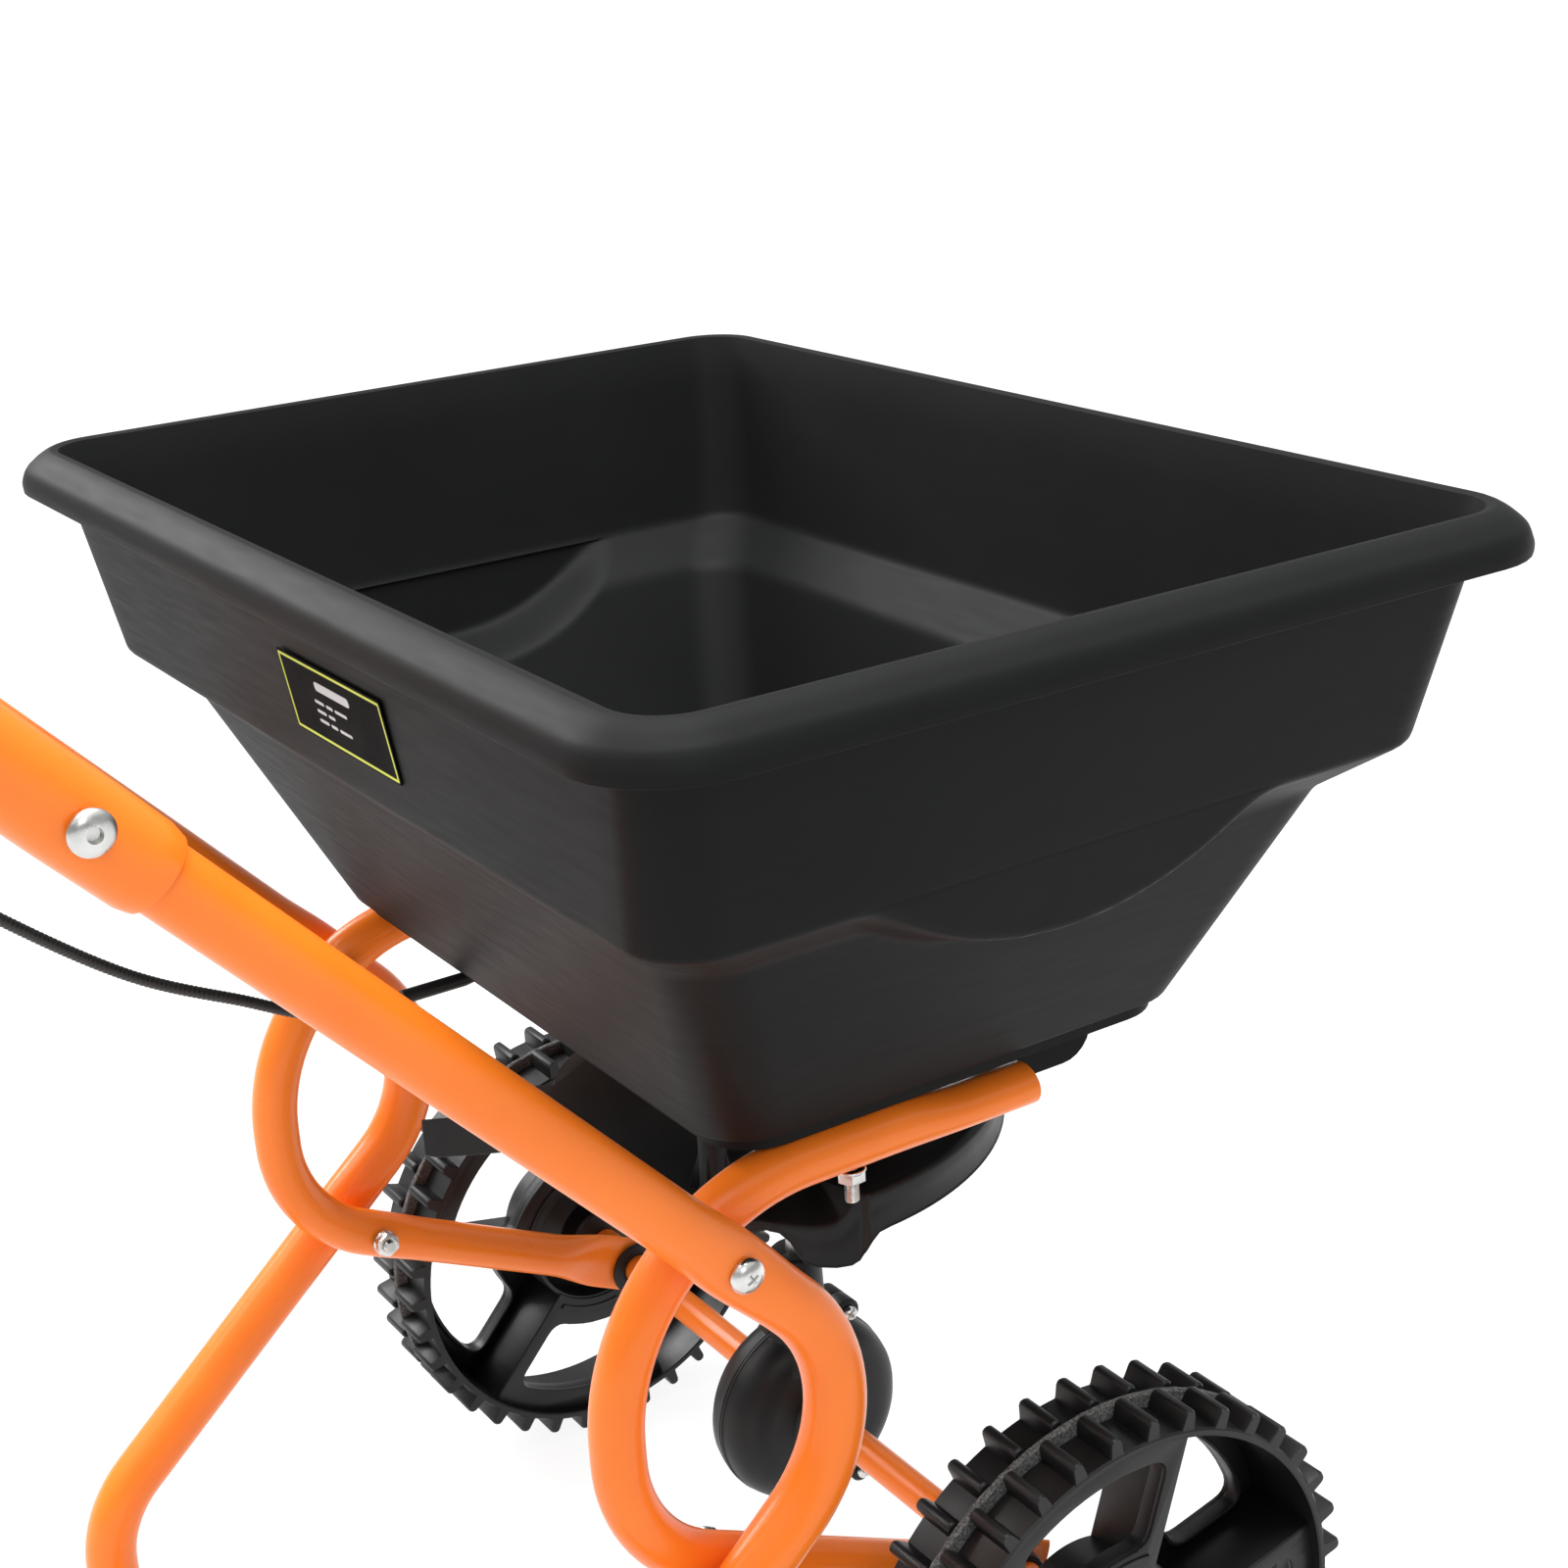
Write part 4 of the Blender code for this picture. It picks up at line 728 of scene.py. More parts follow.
def make_foot_caps():
    for name in SIDE_NAMES:
        low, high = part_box(name + "_foot_cap")
        out = (high.x - low.x) / 2
        centre = ((low.x + high.x) / 2, (low.y + high.y) / 2, 0.0)
        profile = [(0.0, 0.0008), (0.006, 0.0008), (0.0065, 0.0), (out - 0.0028, 0.0), (out - 0.0008, 0.0007),
                   (out, 0.0022), (out - 0.0002, 0.0050), (out - 0.0009, 0.0056), (out - 0.0003, 0.0062),
                   (out - 0.0005, 0.0092), (out - 0.0012, 0.0098), (out - 0.0006, 0.0104), (out - 0.0009, 0.0180),
                   (out - 0.0018, 0.0199), (0.0131, 0.0199), (0.0131, 0.0036), (0.0, 0.0036)]
        cap = lathe("foot_cap_" + name, profile, centre, Z_AXIS, 48, closed=False)
        place(cap, RUBBER, "frame", name + "_foot_cap", sharp=30.0)


def make_grips():
    for name in SIDE_NAMES:
        low, high, centre = box_of(name + "_grip")
        length, top = high.x - low.x, (high.z - low.z) / 2
        profile = [(0.0161, 0.0), (top - 0.0012, 0.0), (top, 0.0014), (top, 0.0042), (top - 0.0014, 0.0056)]
        ridges = 13
        for k in range(ridges):
            z = 0.0100 + (length - 0.0200) * k / (ridges - 1)
            swell = top - 0.0014 - 0.0008 * math.sin(math.pi * k / (ridges - 1))
            profile += [(swell - 0.0007, z - 0.0022), (swell, z - 0.0012), (swell, z + 0.0012), (swell - 0.0007,
                        z + 0.0022)]
        profile += [(top - 0.0014, length - 0.0056), (top, length - 0.0042), (top, length - 0.0014),
                    (top - 0.0012, length), (0.0161, length)]
        grip = lathe("grip_" + name, profile, centre - Vector((length / 2, 0, 0)), X_AXIS, 64)
        place(grip, RUBBER, "frame", name + "_grip", sharp=30.0)


# ---- fasteners --------------------------------------------------------------------


def threaded(radius, start, end, pitch=0.0008, sides=20):
    """Profile rings of a screw thread along local Z, as points."""
    count = max(4, round((end - start) / pitch * (8)))
    rings = []
    for k in range(count + 1):
        z = start + (end - start) * k / count
        fade = min(1.0, (end - z) / (pitch * 1.2), (z - start) / (pitch * 1.2))
        ring = []
        for s in range(sides):
            phase = (z / pitch - s / sides) % 1.0
            depth = 0.00042 * abs(2 * phase - 1) + 0.0002 * (1 - max(0.0, fade))
            a = 2 * math.pi * s / sides
            ring.append(((radius - depth) * math.cos(a), (radius - depth) * math.sin(a), z))
        rings.append(ring)
    return rings


def thread_piece(name, radius, start, end, centre, axis):
    bm = bmesh.new()
    rings = [[bm.verts.new(p) for p in ring] for ring in threaded(radius, start, end)]
    for low, high in zip(rings, rings[1:]):
        bridge(bm, low, high)
    for ring, z in ((rings[0], start), (rings[-1], end)):
        middle = bm.verts.new((0, 0, z))
        bridge(bm, [middle], ring)
    return stand(from_bmesh(name, bm), centre, axis)


def bolt_head(name, radius, height, centre, axis, recess, twist):
    """Low domed head, its bearing face at the centre, with a cross or a round recess."""
    steps = 9
    dome = [(radius * math.cos(math.pi / 2 * k / steps),
            0.0006 + (height - 0.0006) * math.sin(math.pi / 2 * k / steps))
            for k in range(steps)]
    profile = [(0.0, 0.0), (radius * 0.97, 0.0), (radius, 0.0003)] + dome + [(0.0, height)]
    head = lathe(name, profile, steps=48, closed=False)
    if recess == "cross":
        for k in range(2):
            bm = bmesh.new()
            bmesh.ops.create_cube(bm, size=1.0)
            bm.transform(Matrix.Rotation(twist + math.pi / 2 * k, 4, "Z") @ Matrix.Translation((0, 0, height))
                         @ Matrix.Diagonal((radius * 1.05, radius * 0.23, height * 1.1, 1.0)))
            for vert in bm.verts:
                if vert.co.z < height:
                    vert.co.x *= 0.45
                    vert.co.y *= 0.45
            cut(head, from_bmesh("recess", bm))
    else:
        hole = [(0.0, height * 0.25), (radius * 0.30, height * 0.25), (radius * 0.36, height * 1.2), (0.0,
                height * 1.2)]
        cut(head, lathe("recess", hole, steps=24, closed=False))
    bevel(head, 0.00018, 2, 40.0)
    return stand(head, centre, axis)


def hex_piece(name, across, height, hole, centre, axis, flange=0.0):
    """Hexagon nut from its bearing face along the axis, corners chamfered, flange underneath."""
    flats = [(across / 2 / math.cos(math.pi / 6) * math.cos(math.pi / 3 * k),
              across / 2 / math.cos(math.pi / 6) * math.sin(math.pi / 3 * k)) for k in range(6)]
    nut = plate(name, [flats, circle(hole, 24)[::-1]], height, Matrix.Translation((0, 0, height / 2)))
    corner = across / 2 / math.cos(math.pi / 6)
    drop = (corner - across / 2) * 0.62
    trim = [(0.0, -0.001), (corner * 1.05, -0.001), (corner * 1.05, height - drop), (across / 2 * 0.95,
            height + 0.00002),
            (0.0, height + 0.00002)]
    cut(nut, lathe("trim", trim, steps=48, closed=False), "INTERSECT")
    pieces = [nut]
    if flange:
        rim = [(hole, 0.0), (flange - 0.0002, 0.0), (flange, 0.0003), (flange, 0.0009), (across / 2 * 0.98, 0.0019),
               (hole, 0.0019)]
        pieces.append(lathe("flange", rim, steps=48))
    obj = joined(name, pieces)
    bevel(obj, 0.00015, 2, 30.0)
    return stand(obj, centre, axis)


def screw(name, node, face, side, head_r, shank_r, recess="cross", twist=0.0, sunk=0.0, spare=0.0002):
    """A screw along X with its head's bearing face at the given X, outwards on that side."""
    low, high, middle = box_of(node)
    outer, inner = (high.x, low.x) if side > 0 else (low.x, high.x)
    axis = Vector((side, 0, 0))
    seat = (face, middle.y, middle.z)
    head = bolt_head("head", head_r, abs(outer - face) - sunk, seat, axis, recess, twist)
    shank = thread_piece("shank", shank_r, 0.0, abs(face - inner) - spare, seat, -axis)
    place(joined(name, [head, shank]), ZINC, "frame", node, sharp=30.0)
    return middle


def make_bolts():
    random.seed(7)
    for name, side in SIDE_NAMES.items():
        for level, flat in (("upper", 0.86), ("lower", 0.90)):
            face = side * (FRAME_X + FRAME_R * flat + 0.0001)
            middle = screw(f"cross_bolt_{name}_{level}", f"{name}_{level}_cross_bolt", face, side, 0.0073, 0.0030,
                           twist=random.uniform(0.2, 1.2), sunk=0.0008)
            face = side * (SUPPORT_X - SUPPORT_R - 0.0003)
            nut = hex_piece(f"cross_nut_{name}_{level}", 0.0110, 0.0054, 0.0031, (face, middle.y, middle.z), (-side,
                            0, 0), 0.0062)
            place(nut, ZINC, "frame", f"{name}_{level}_cross_nut", sharp=30.0)
        face = side * (FRAME_X + HANDLE_R * 1.015 + 0.0001)
        screw("sleeve_bolt_" + name, name + "_sleeve_bolt", face, side, 0.0078, 0.0030, "socket")
        low, high, middle = box_of(name + "_hopper_stud")
        stud = thread_piece("hopper_stud_" + name, 0.0030, 0.0, high.z - low.z, (middle.x, middle.y, low.z), Z_AXIS)
        place(stud, ZINC, "frame", name + "_hopper_stud", sharp=60.0)
        low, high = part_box(name + "_hopper_nut")
        nut = hex_piece("hopper_nut_" + name, 0.0108, high.z - low.z, 0.0031, (middle.x, middle.y, high.z), -Z_AXIS,
                        0.0062)
        place(nut, ZINC, "frame", name + "_hopper_nut", sharp=30.0)


# ---- wheels -----------------------------------------------------------------------
MID = (WHEEL_IN + WHEEL_OUT) / 2
RIM_R = 0.1085
CLEATS = 36


def window_loop(start, sweep_angle, inset, steps=5):
    """Rounded D-shaped opening in a web plate, inset from its own edge."""
    low, high = 0.0530 + inset, 0.0930 - inset
    side = 0.0068 + inset
    raw = arc(high, 14, start + side / high, sweep_angle - 2 * side / high)
    raw += arc(low, 8, start + sweep_angle - side / low, -(sweep_angle - 2 * side / low))
    points = [Vector((*p, 0.0)) for p in raw]
    corners = {0, 13, 14, 21}
    out = []
    for k, point in enumerate(points):
        if k not in corners:
            near = min(min((point - points[c]).length for c in corners), 1.0)
            if near > max(0.0085 - inset, 0.002):
                out.append(point)
            continue
        reach = max(0.0085 - inset, 0.002)
        before, after = points[k - 1], points[(k + 1) % len(points)]
        a = point + (before - point).normalized() * reach
        b = point + (after - point).normalized() * reach
        out += [a * (1 - t) ** 2 + point * 2 * t * (1 - t) + b * t ** 2 for t in (s / steps for s in range(steps + 1))]
    return [(p.x, p.y) for p in out]


def make_cleats():
    """Two staggered rows of tapered tread bars, as one mesh about the wheel's axis."""
    low_half, top_half, foot, tip = 0.0035, 0.0025, RIM_R - 0.0020, WHEEL_TIP - 0.0001
    half_section = [(low_half + 0.0010, foot), (low_half, RIM_R + 0.0006), (top_half + 0.0003, tip - 0.0020),
                    (top_half - 0.0004, tip - 0.0006), (top_half * 0.35, tip)]
    section = [(-t, r) for t, r in half_section] + half_section[::-1]
    cleats = []
    for row, stagger in ((-1, 0.0), (1, 0.5)):
        inner_end, outer_end = row * 0.0019, row * ((WHEEL_OUT - WHEEL_IN) / 2 - 0.0004)
        stations = ((inner_end, 0.90, 0.93), (inner_end + row * 0.0010, 1.0, 1), (outer_end - row * 0.0012, 1.0, 1),
                    (outer_end, 0.86, 0.93))
        rings = [[(MID + x, t * narrow, foot + (r - foot) * low) for t, r in section] for x, narrow, low in stations]
        for k in range(CLEATS):
            turn = Matrix.Rotation(2 * math.pi * (k + stagger) / CLEATS, 4, "X")
            cleats.append(loft("cleat", rings, matrix=turn, recalc=False))
    return joined("cleats", cleats)


def wheel_parts():
    """The wheel's moulding about the X axis, at the right wheel's distance out."""
    origin = (0, 0, 0)
    wall = 0.0038
    rim = [(RIM_R - wall, WHEEL_IN + 0.0006), (RIM_R - wall + 0.0008, WHEEL_IN), (RIM_R - 0.0010, WHEEL_IN),
           (RIM_R, WHEEL_IN + 0.0010), (RIM_R, WHEEL_OUT - 0.0010), (RIM_R - 0.0010, WHEEL_OUT),
           (RIM_R - wall + 0.0008, WHEEL_OUT), (RIM_R - wall, WHEEL_OUT - 0.0006)]
    parts = [lathe("rim", rim, origin, X_AXIS, 144), make_cleats()]
    face = WHEEL_OUT + 0.004
    hub = [(AXLE_R + 0.0003, WHEEL_IN - 0.0039), (0.0195, WHEEL_IN - 0.0039), (0.0208, WHEEL_IN - 0.0026),
           (0.0210, WHEEL_IN + 0.0100), (0.0225, WHEEL_IN + 0.0115), (0.0365, WHEEL_IN + 0.0155),
           (0.0365, WHEEL_IN + 0.0060), (0.0385, WHEEL_IN + 0.0060), (0.0395, WHEEL_IN + 0.0200),
           (0.0395, WHEEL_OUT - 0.0200), (0.0385, WHEEL_OUT - 0.0060), (0.0365, WHEEL_OUT - 0.0060),
           (0.0362, WHEEL_OUT - 0.0150), (0.0290, WHEEL_OUT - 0.0130), (0.0280, WHEEL_OUT - 0.0105),
           (0.0225, WHEEL_OUT - 0.0085), (0.0205, WHEEL_OUT - 0.0020), (0.0200, face - 0.0022), (0.0188,
               face - 0.0002),
           (0.0125, face - 0.0002), (0.0118, face - 0.0012), (AXLE_R + 0.0003, face - 0.0012)]
    parts.append(lathe("hub", hub, origin, X_AXIS, 96))
    third = math.radians(60)
    for k in range(6):
        start = third * k + math.radians(12)
        outer_face = bool(k % 2)
        x = WHEEL_OUT - 0.0065 if outer_face else WHEEL_IN + 0.0065
        inward = -1 if outer_face else 1
        sector = arc(RIM_R - 0.0030, 24, start - 0.008, third + 0.016) + arc(0.0378, 12, start + third + 0.02,
            -third - 0.04)
        window = window_loop(start, third, 0.0)
        shift = Matrix.Translation((x, 0, 0)) @ UPRIGHT
        parts.append(plate("web", [sector, window[::-1]], 0.0028, shift, 0.0005, 2))
        lip = plate("lip", [window_loop(start, third, -0.0021), window_loop(start, third, -0.00015)[::-1]], 0.0085,
                    Matrix.Translation((x + inward * 0.0040, 0, 0)) @ UPRIGHT, 0.0005, 2)
        parts.append(lip)
        low_r, high_r = (0.0460, 0.0505) if outer_face else (0.0420, 0.0450)
        band = arc(high_r, 16, start + 0.10, third - 0.20) + arc(low_r, 16, start + third - 0.11, -(third - 0.22))
        parts.append(plate("band", [band], 0.0012, Matrix.Translation((x - inward * 0.0018, 0, 0)) @ UPRIGHT, 0.0003,
                     1))
        wall_box = (Matrix.Rotation(start, 4, "X") @ Matrix.Translation((MID, 0.0715, 0.0))
                    @ Matrix.Diagonal((WHEEL_OUT - WHEEL_IN - 0.0110, 0.0680, 0.0028, 1.0)))
        parts.append(bevel(cube("radial_wall", wall_box), 0.0006, 2))
    return joined("wheel", parts)


def make_wheels():
    wheel = wheel_parts()
    rib = lathe("rib", [(RIM_R - 0.0010, MID - 0.0020), (RIM_R + 0.0056, MID - 0.0017), (RIM_R + 0.0062,
                MID - 0.0011),
                        (RIM_R + 0.0062, MID + 0.0011), (RIM_R + 0.0056, MID + 0.0017), (RIM_R - 0.0010,
                            MID + 0.0020)],
                (0, 0, 0), X_AXIS, 180)
    bm = bmesh.new()
    bm.from_mesh(rib.data)
    random.seed(11)
    for vert in bm.verts:
        vert.co += Vector((random.uniform(-1, 1), random.uniform(-1, 1), random.uniform(-1, 1))) * 0.00022
    bm.to_mesh(rib.data)
    bm.free()
    centre = Matrix.Translation((0, AXLE.y, AXLE.z))
    for side, name, body in ((1, "right", "drive_axle"), (-1, "left", "free_wheel")):
        turn = centre if side > 0 else centre @ Matrix.Rotation(math.pi, 4, "Z")
        for source, label, mat in ((wheel, "tyre_and_web", WHEEL), (rib, "tread_rib", RIB)):
            mesh = source.data.copy()
            mesh.transform(turn)
            obj = link(f"{label}_{name}", mesh)
            nodes = (name + "_wheel",) if source is wheel else ()
            place(obj, mat, body, *nodes, sharp=34.0)
    for source in (wheel, rib):
        bpy.data.objects.remove(source, do_unlink=True)


def make_axle():
    low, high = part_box("axle")
    r = AXLE_R - 0.00005
    obj = lathe("axle_rod", [(0.0, low.x), (r - 0.0012, low.x), (r, low.x + 0.0012), (r, high.x - 0.0012),
                             (r - 0.0012, high.x), (0.0, high.x)], (0, AXLE.y, AXLE.z), X_AXIS, SIDES, closed=False)
    place(obj, PAINT, "drive_axle", "axle")
    for name in ("right", "left"):
        low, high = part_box(name + "_cotter_pin")
        x, wire = (low.x + high.x) / 2, (high.x - low.x) / 2 - 0.00005
        eye_r = (high.y - low.y) / 2 - wire
        top = Vector((x, AXLE.y, high.z - wire - eye_r))
        path = [Vector((x, AXLE.y, low.z + 0.0004)), Vector((x, AXLE.y, top.z - eye_r * 1.9))]
        path = [path[0].lerp(path[1], k / 8) for k in range(9)]
        path += [top + Vector((0, eye_r * math.sin(a), -eye_r * math.cos(a)))
                 for a in (math.radians(20 + 15 * k) for k in range(21))]
        pin = sweep("cotter_" + name, path, X_AXIS, lambda k: (wire, wire), 16)
        place(pin, ZINC, "drive_axle", name + "_cotter_pin")
        low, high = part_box(name + "_axle_bushing")
        side = 1 if name == "right" else -1
        outer = (high.z - low.z) / 2
        thick = high.x - low.x
        profile = [(AXLE_R + 0.0003, 0.0), (0.0104, 0.0), (0.0108, 0.0004), (0.0108, thick - 0.0026), (outer - 0.0006,
                   thick - 0.0025),
                   (outer, thick - 0.0019), (outer, thick - 0.0006), (outer - 0.0008, thick), (0.0098, thick),
                   (0.0090, thick - 0.0008), (AXLE_R + 0.0003, thick - 0.0008)]
        start = high.x if side > 0 else low.x
        ring = lathe("axle_bush_" + name, profile, (start, AXLE.y, AXLE.z), (-side, 0, 0), 48)
        place(ring, SHROUD, "frame", name + "_axle_bushing", sharp=30.0)


# ---- gearbox, spinner and shroud ----------------------------------------------------


def make_gearbox():
    half = 0.0190
    body = [(0.0, half), (0.0300, half), (0.0355, half - 0.0004), (0.0400, half - 0.0020), (0.0440, half - 0.0050),
            (0.0468, half - 0.0090), (0.0482, half - 0.0140), (0.0484, half - 0.0176), (0.0489,
                half - 0.0178), (0.0489, 0.0)]
    body += [(r, -x) for r, x in reversed(body[:-1])]
    obj = lathe("gearbox", body, AXLE, X_AXIS, 96, closed=False)
    boss = [(0.0, 0.0288), (0.0132, 0.0288), (0.0148, 0.0276), (0.0150, 0.0230), (0.0160, 0.0205), (0.0190, 0.0180),
            (0.0190, -0.0180), (0.0160, -0.0205), (0.0150, -0.0230), (0.0148, -0.0276), (0.0132, -0.0288), (0.0,
                -0.0288)]
    cut(obj, lathe("boss", boss, AXLE, X_AXIS, 64, closed=False), "UNION")
    neck = [(0.0, 0.0859), (0.0112, 0.0859), (0.0124, 0.0848), (0.0127, 0.0740), (0.0130, 0.0640), (0.0138, 0.0560),
            (0.0160, 0.0495), (0.0195, 0.0435), (0.0245, 0.0340), (0.0258, 0.0300), (0.0, 0.0300)]
    cut(obj, lathe("neck", neck, AXLE, Z_AXIS, 64, closed=False), "UNION")
    for y, z in ((0.0220, 0.0470), (0.0260, -0.0450)):
        lug = [(0.0, 0.0105), (0.0058, 0.0105), (0.0067, 0.0096), (0.0067, -0.0096), (0.0058, -0.0105), (0.0,
               -0.0105)]
        cut(obj, lathe("lug", lug, AXLE + Vector((0, y, z)), X_AXIS, 32, closed=False), "UNION")
    bore = lathe("bore", [(0.0, -0.05), (AXLE_R + 0.0003, -0.05), (AXLE_R + 0.0003, 0.05), (0.0, 0.05)], AXLE, X_AXIS,
                 32,
                 closed=False)
    cut(obj, bore)
    for side, name in ((1, "right"), (-1, "left")):
        bm = bmesh.new()
        bm.from_mesh(obj.data)
        geometry = bm.verts[:] + bm.edges[:] + bm.faces[:]
        result = bmesh.ops.bisect_plane(bm, geom=geometry, plane_co=(side * 0.0003, 0, 0), plane_no=(side, 0, 0),
                                        clear_inner=True)
        edges = [e for e in result["geom_cut"] if isinstance(e, bmesh.types.BMEdge)]
        bmesh.ops.holes_fill(bm, edges=edges)
        shell = from_bmesh("gearbox_half_" + name, bm)
        bevel(shell, 0.0006, 2, 32.0)
        place(shell, SHROUD, "frame", f"gearbox_{name}_shell", sharp=30.0)
    bpy.data.objects.remove(obj, do_unlink=True)
    for name in ("upper", "lower"):
        screw(f"shell_screw_{name}", f"gearbox_{name}_screw", AXLE.x + 0.0109, 1, 0.0040, 0.0020, twist=0.5,
              spare=0.0)


def make_spinner():
    centre = Vector((0, AXLE.y, IMPELLER_Z))
    low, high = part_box("impeller")
    edge = (high.x - low.x) / 2
    disc = [(0.0050, -0.0059), (0.0112, -0.0059), (0.0120, -0.0052), (0.0128, -0.0006), (0.0150, 0.0),
            (edge - 0.0060, 0.0), (edge - 0.0010, 0.0018), (edge, 0.0032), (edge, 0.0046), (edge - 0.0006, 0.0050),
            (edge - 0.0026, 0.0050), (edge - 0.0034, 0.0044), (edge - 0.0066, 0.0030), (0.0150, 0.0030), (0.0128,
                0.0044),
            (0.0112, 0.0180), (0.0104, 0.0189), (0.0050, 0.0189)]
    parts = [lathe("disc", disc, centre, Z_AXIS, 96)]
    for k in range(4):
        angle = math.radians(90 * k + 20)
        rings = []
        for s in range(13):
            t = s / 12
            run = 0.0105 + (edge - 0.0050 - 0.0105) * t
            bend = 0.0030 * math.sin(math.pi * t)
            tall = 0.0155 - 0.0045 * t
            section = ((-0.0013, 0.0020), (0.0013, 0.0020), (0.0009, tall - 0.0004), (0.0004, tall), (-0.0004, tall),
                       (-0.0009, tall - 0.0004))
            rings.append([(run, bend + y, z) for y, z in section])
        spot = Matrix.Translation(centre) @ Matrix.Rotation(angle, 4, "Z")
        parts.append(loft("vane", rings, matrix=spot, recalc=False))
    place(joined("spinner_disc", parts), SHROUD, "spinner", "impeller", sharp=34.0)
    low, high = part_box("drive_shaft")
    r = (high.x - low.x) / 2 - 0.00005
    shaft = lathe("vertical_shaft", [(0.0, low.z), (r - 0.0006, low.z), (r, low.z + 0.0006), (r, high.z - 0.0012),
                                     (r - 0.0010, high.z), (0.0, high.z)], (0, AXLE.y, 0), Z_AXIS, 32, closed=False)
    place(shaft, STEEL, "spinner", "drive_shaft")
    low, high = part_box("agitator")
    wire = (high.y - low.y) / 2 - 0.00003
    bottom, top = low.z + wire, high.z - wire * 0.75
    half = (high.x - low.x) / 2 - wire * 0.75
    middle_y = (low.y + high.y) / 2
    corners = [(-half, middle_y, top), (-half * 0.80, middle_y, bottom), (half * 0.80, middle_y, bottom), (half,
               middle_y, top)]
    path = fillet_path(corners, (0.0045, 0.0045), 0.0015)
    place(sweep("stirrer_wire", path, Y_AXIS, lambda k: (wire, wire), 16), STEEL, "spinner", "agitator")


# Lower edge of the shroud's wall: degrees from +X towards +Y about its middle, and height.
WALL_EDGE = [(-122.0, 0.3046), (-20.0, 0.3046), (-18.0, 0.3026), (-16.2, 0.2975), (-15.0, 0.2915),
             (-13.6, 0.2862), (-11.6, 0.2828), (-7.7, 0.2797), (-4.6, 0.2785), (-2.8, 0.2796), (-1.8, 0.2835),
             (-1.0, 0.2880), (0.6, 0.2912), (3.0, 0.2918), (181.0, 0.2918)]
SHROUD_TOP = 0.3108
SHROUD_R = 0.1393
SHROUD_Y = -0.0190
REAR_EDGE = [(-123.6, 0.0830), (-105.0, 0.0870), (-85.0, 0.0940), (-62.0, 0.1090), (-55.0, 0.1190), (-45.0, 0.1310),
             (-20.0, SHROUD_R)]
EASING = (-6.0, -3.0, 0.0, 3.0, 6.0)   # angles over which the rear edge's corners are eased
FIN_ANGLE, FIN_NEAR, FIN_END = -120.0, 0.0640, 0.1272
MOUTH_Y = 0.0120                 # middle of the hole the granules fall through
SHROUD_GAP = (181.0, 238.0)      # degrees left open behind the plate
TAB_CORNER = -7.5                # angle of the tab's upright edge


def between(keys, angle):
    """A value at an angle, on straight lines between the keys."""
    for (first, low), (last, high) in zip(keys, keys[1:]):
        if angle <= last:
            return low + (high - low) * (angle - first) / (last - first)
    return keys[-1][1]


def shroud_radius(angle):
    """Outside radius of the cover, cut back behind the spinner."""
    if angle >= REAR_EDGE[-1][0]:
        return SHROUD_R
    total = 0.0
    for shift in EASING:
        total += between(REAR_EDGE, min(max(angle + shift, REAR_EDGE[0][0]), REAR_EDGE[-1][0]))
    return total / len(EASING)


def wall_row(angle):
    """Section of the wall at an angle as (radius, height), from the plate's edge round and back."""
    low = between(WALL_EDGE, angle)
    if angle < TAB_CORNER:
        hip = smooth_step((angle + 24.0) / (TAB_CORNER + 24.0))
    else:
        hip = 1.0 - smooth_step((angle - TAB_CORNER) / 5.6)
    proud = smooth_step((angle + 2.6) / 1.8) * 0.0026
    top = SHROUD_TOP
    outer = shroud_radius(angle) - 0.0026 + proud
    shoulder = outer - 0.0032 - 0.0200 * hip
    corner_z = top - 0.0018 - 0.0096 * hip
    drop = max(corner_z - low, 0.0030)
    lip = min(0.0008, drop * 0.20)
    wall = 0.0020
    foot = outer - drop * 0.025
    return [(shoulder - 0.0010, top), (shoulder, top), (outer - 0.0022, corner_z + 0.0013), (outer - 0.0007,
            corner_z + 0.0005),
            (outer, corner_z - 0.0009), (outer - drop * 0.010, corner_z - drop * 0.40), (foot, low + lip * 1.5),
            (foot + lip * 0.25, low + lip), (foot + lip * 0.75, low + lip * 0.5), (foot + lip * 0.8,
                low + lip * 0.14),
            (foot + lip * 0.5, low), (foot - wall * 0.4, low), (foot - wall, low + 0.0010),
            (outer - drop * 0.010 - wall, corner_z - drop * 0.40), (outer - wall - 0.0004, corner_z - 0.0022),
            (outer - wall - 0.0020, corner_z - 0.0008), (shoulder - 0.0002, top - 0.0022), (shoulder - 0.0012,
                top - 0.0022)]


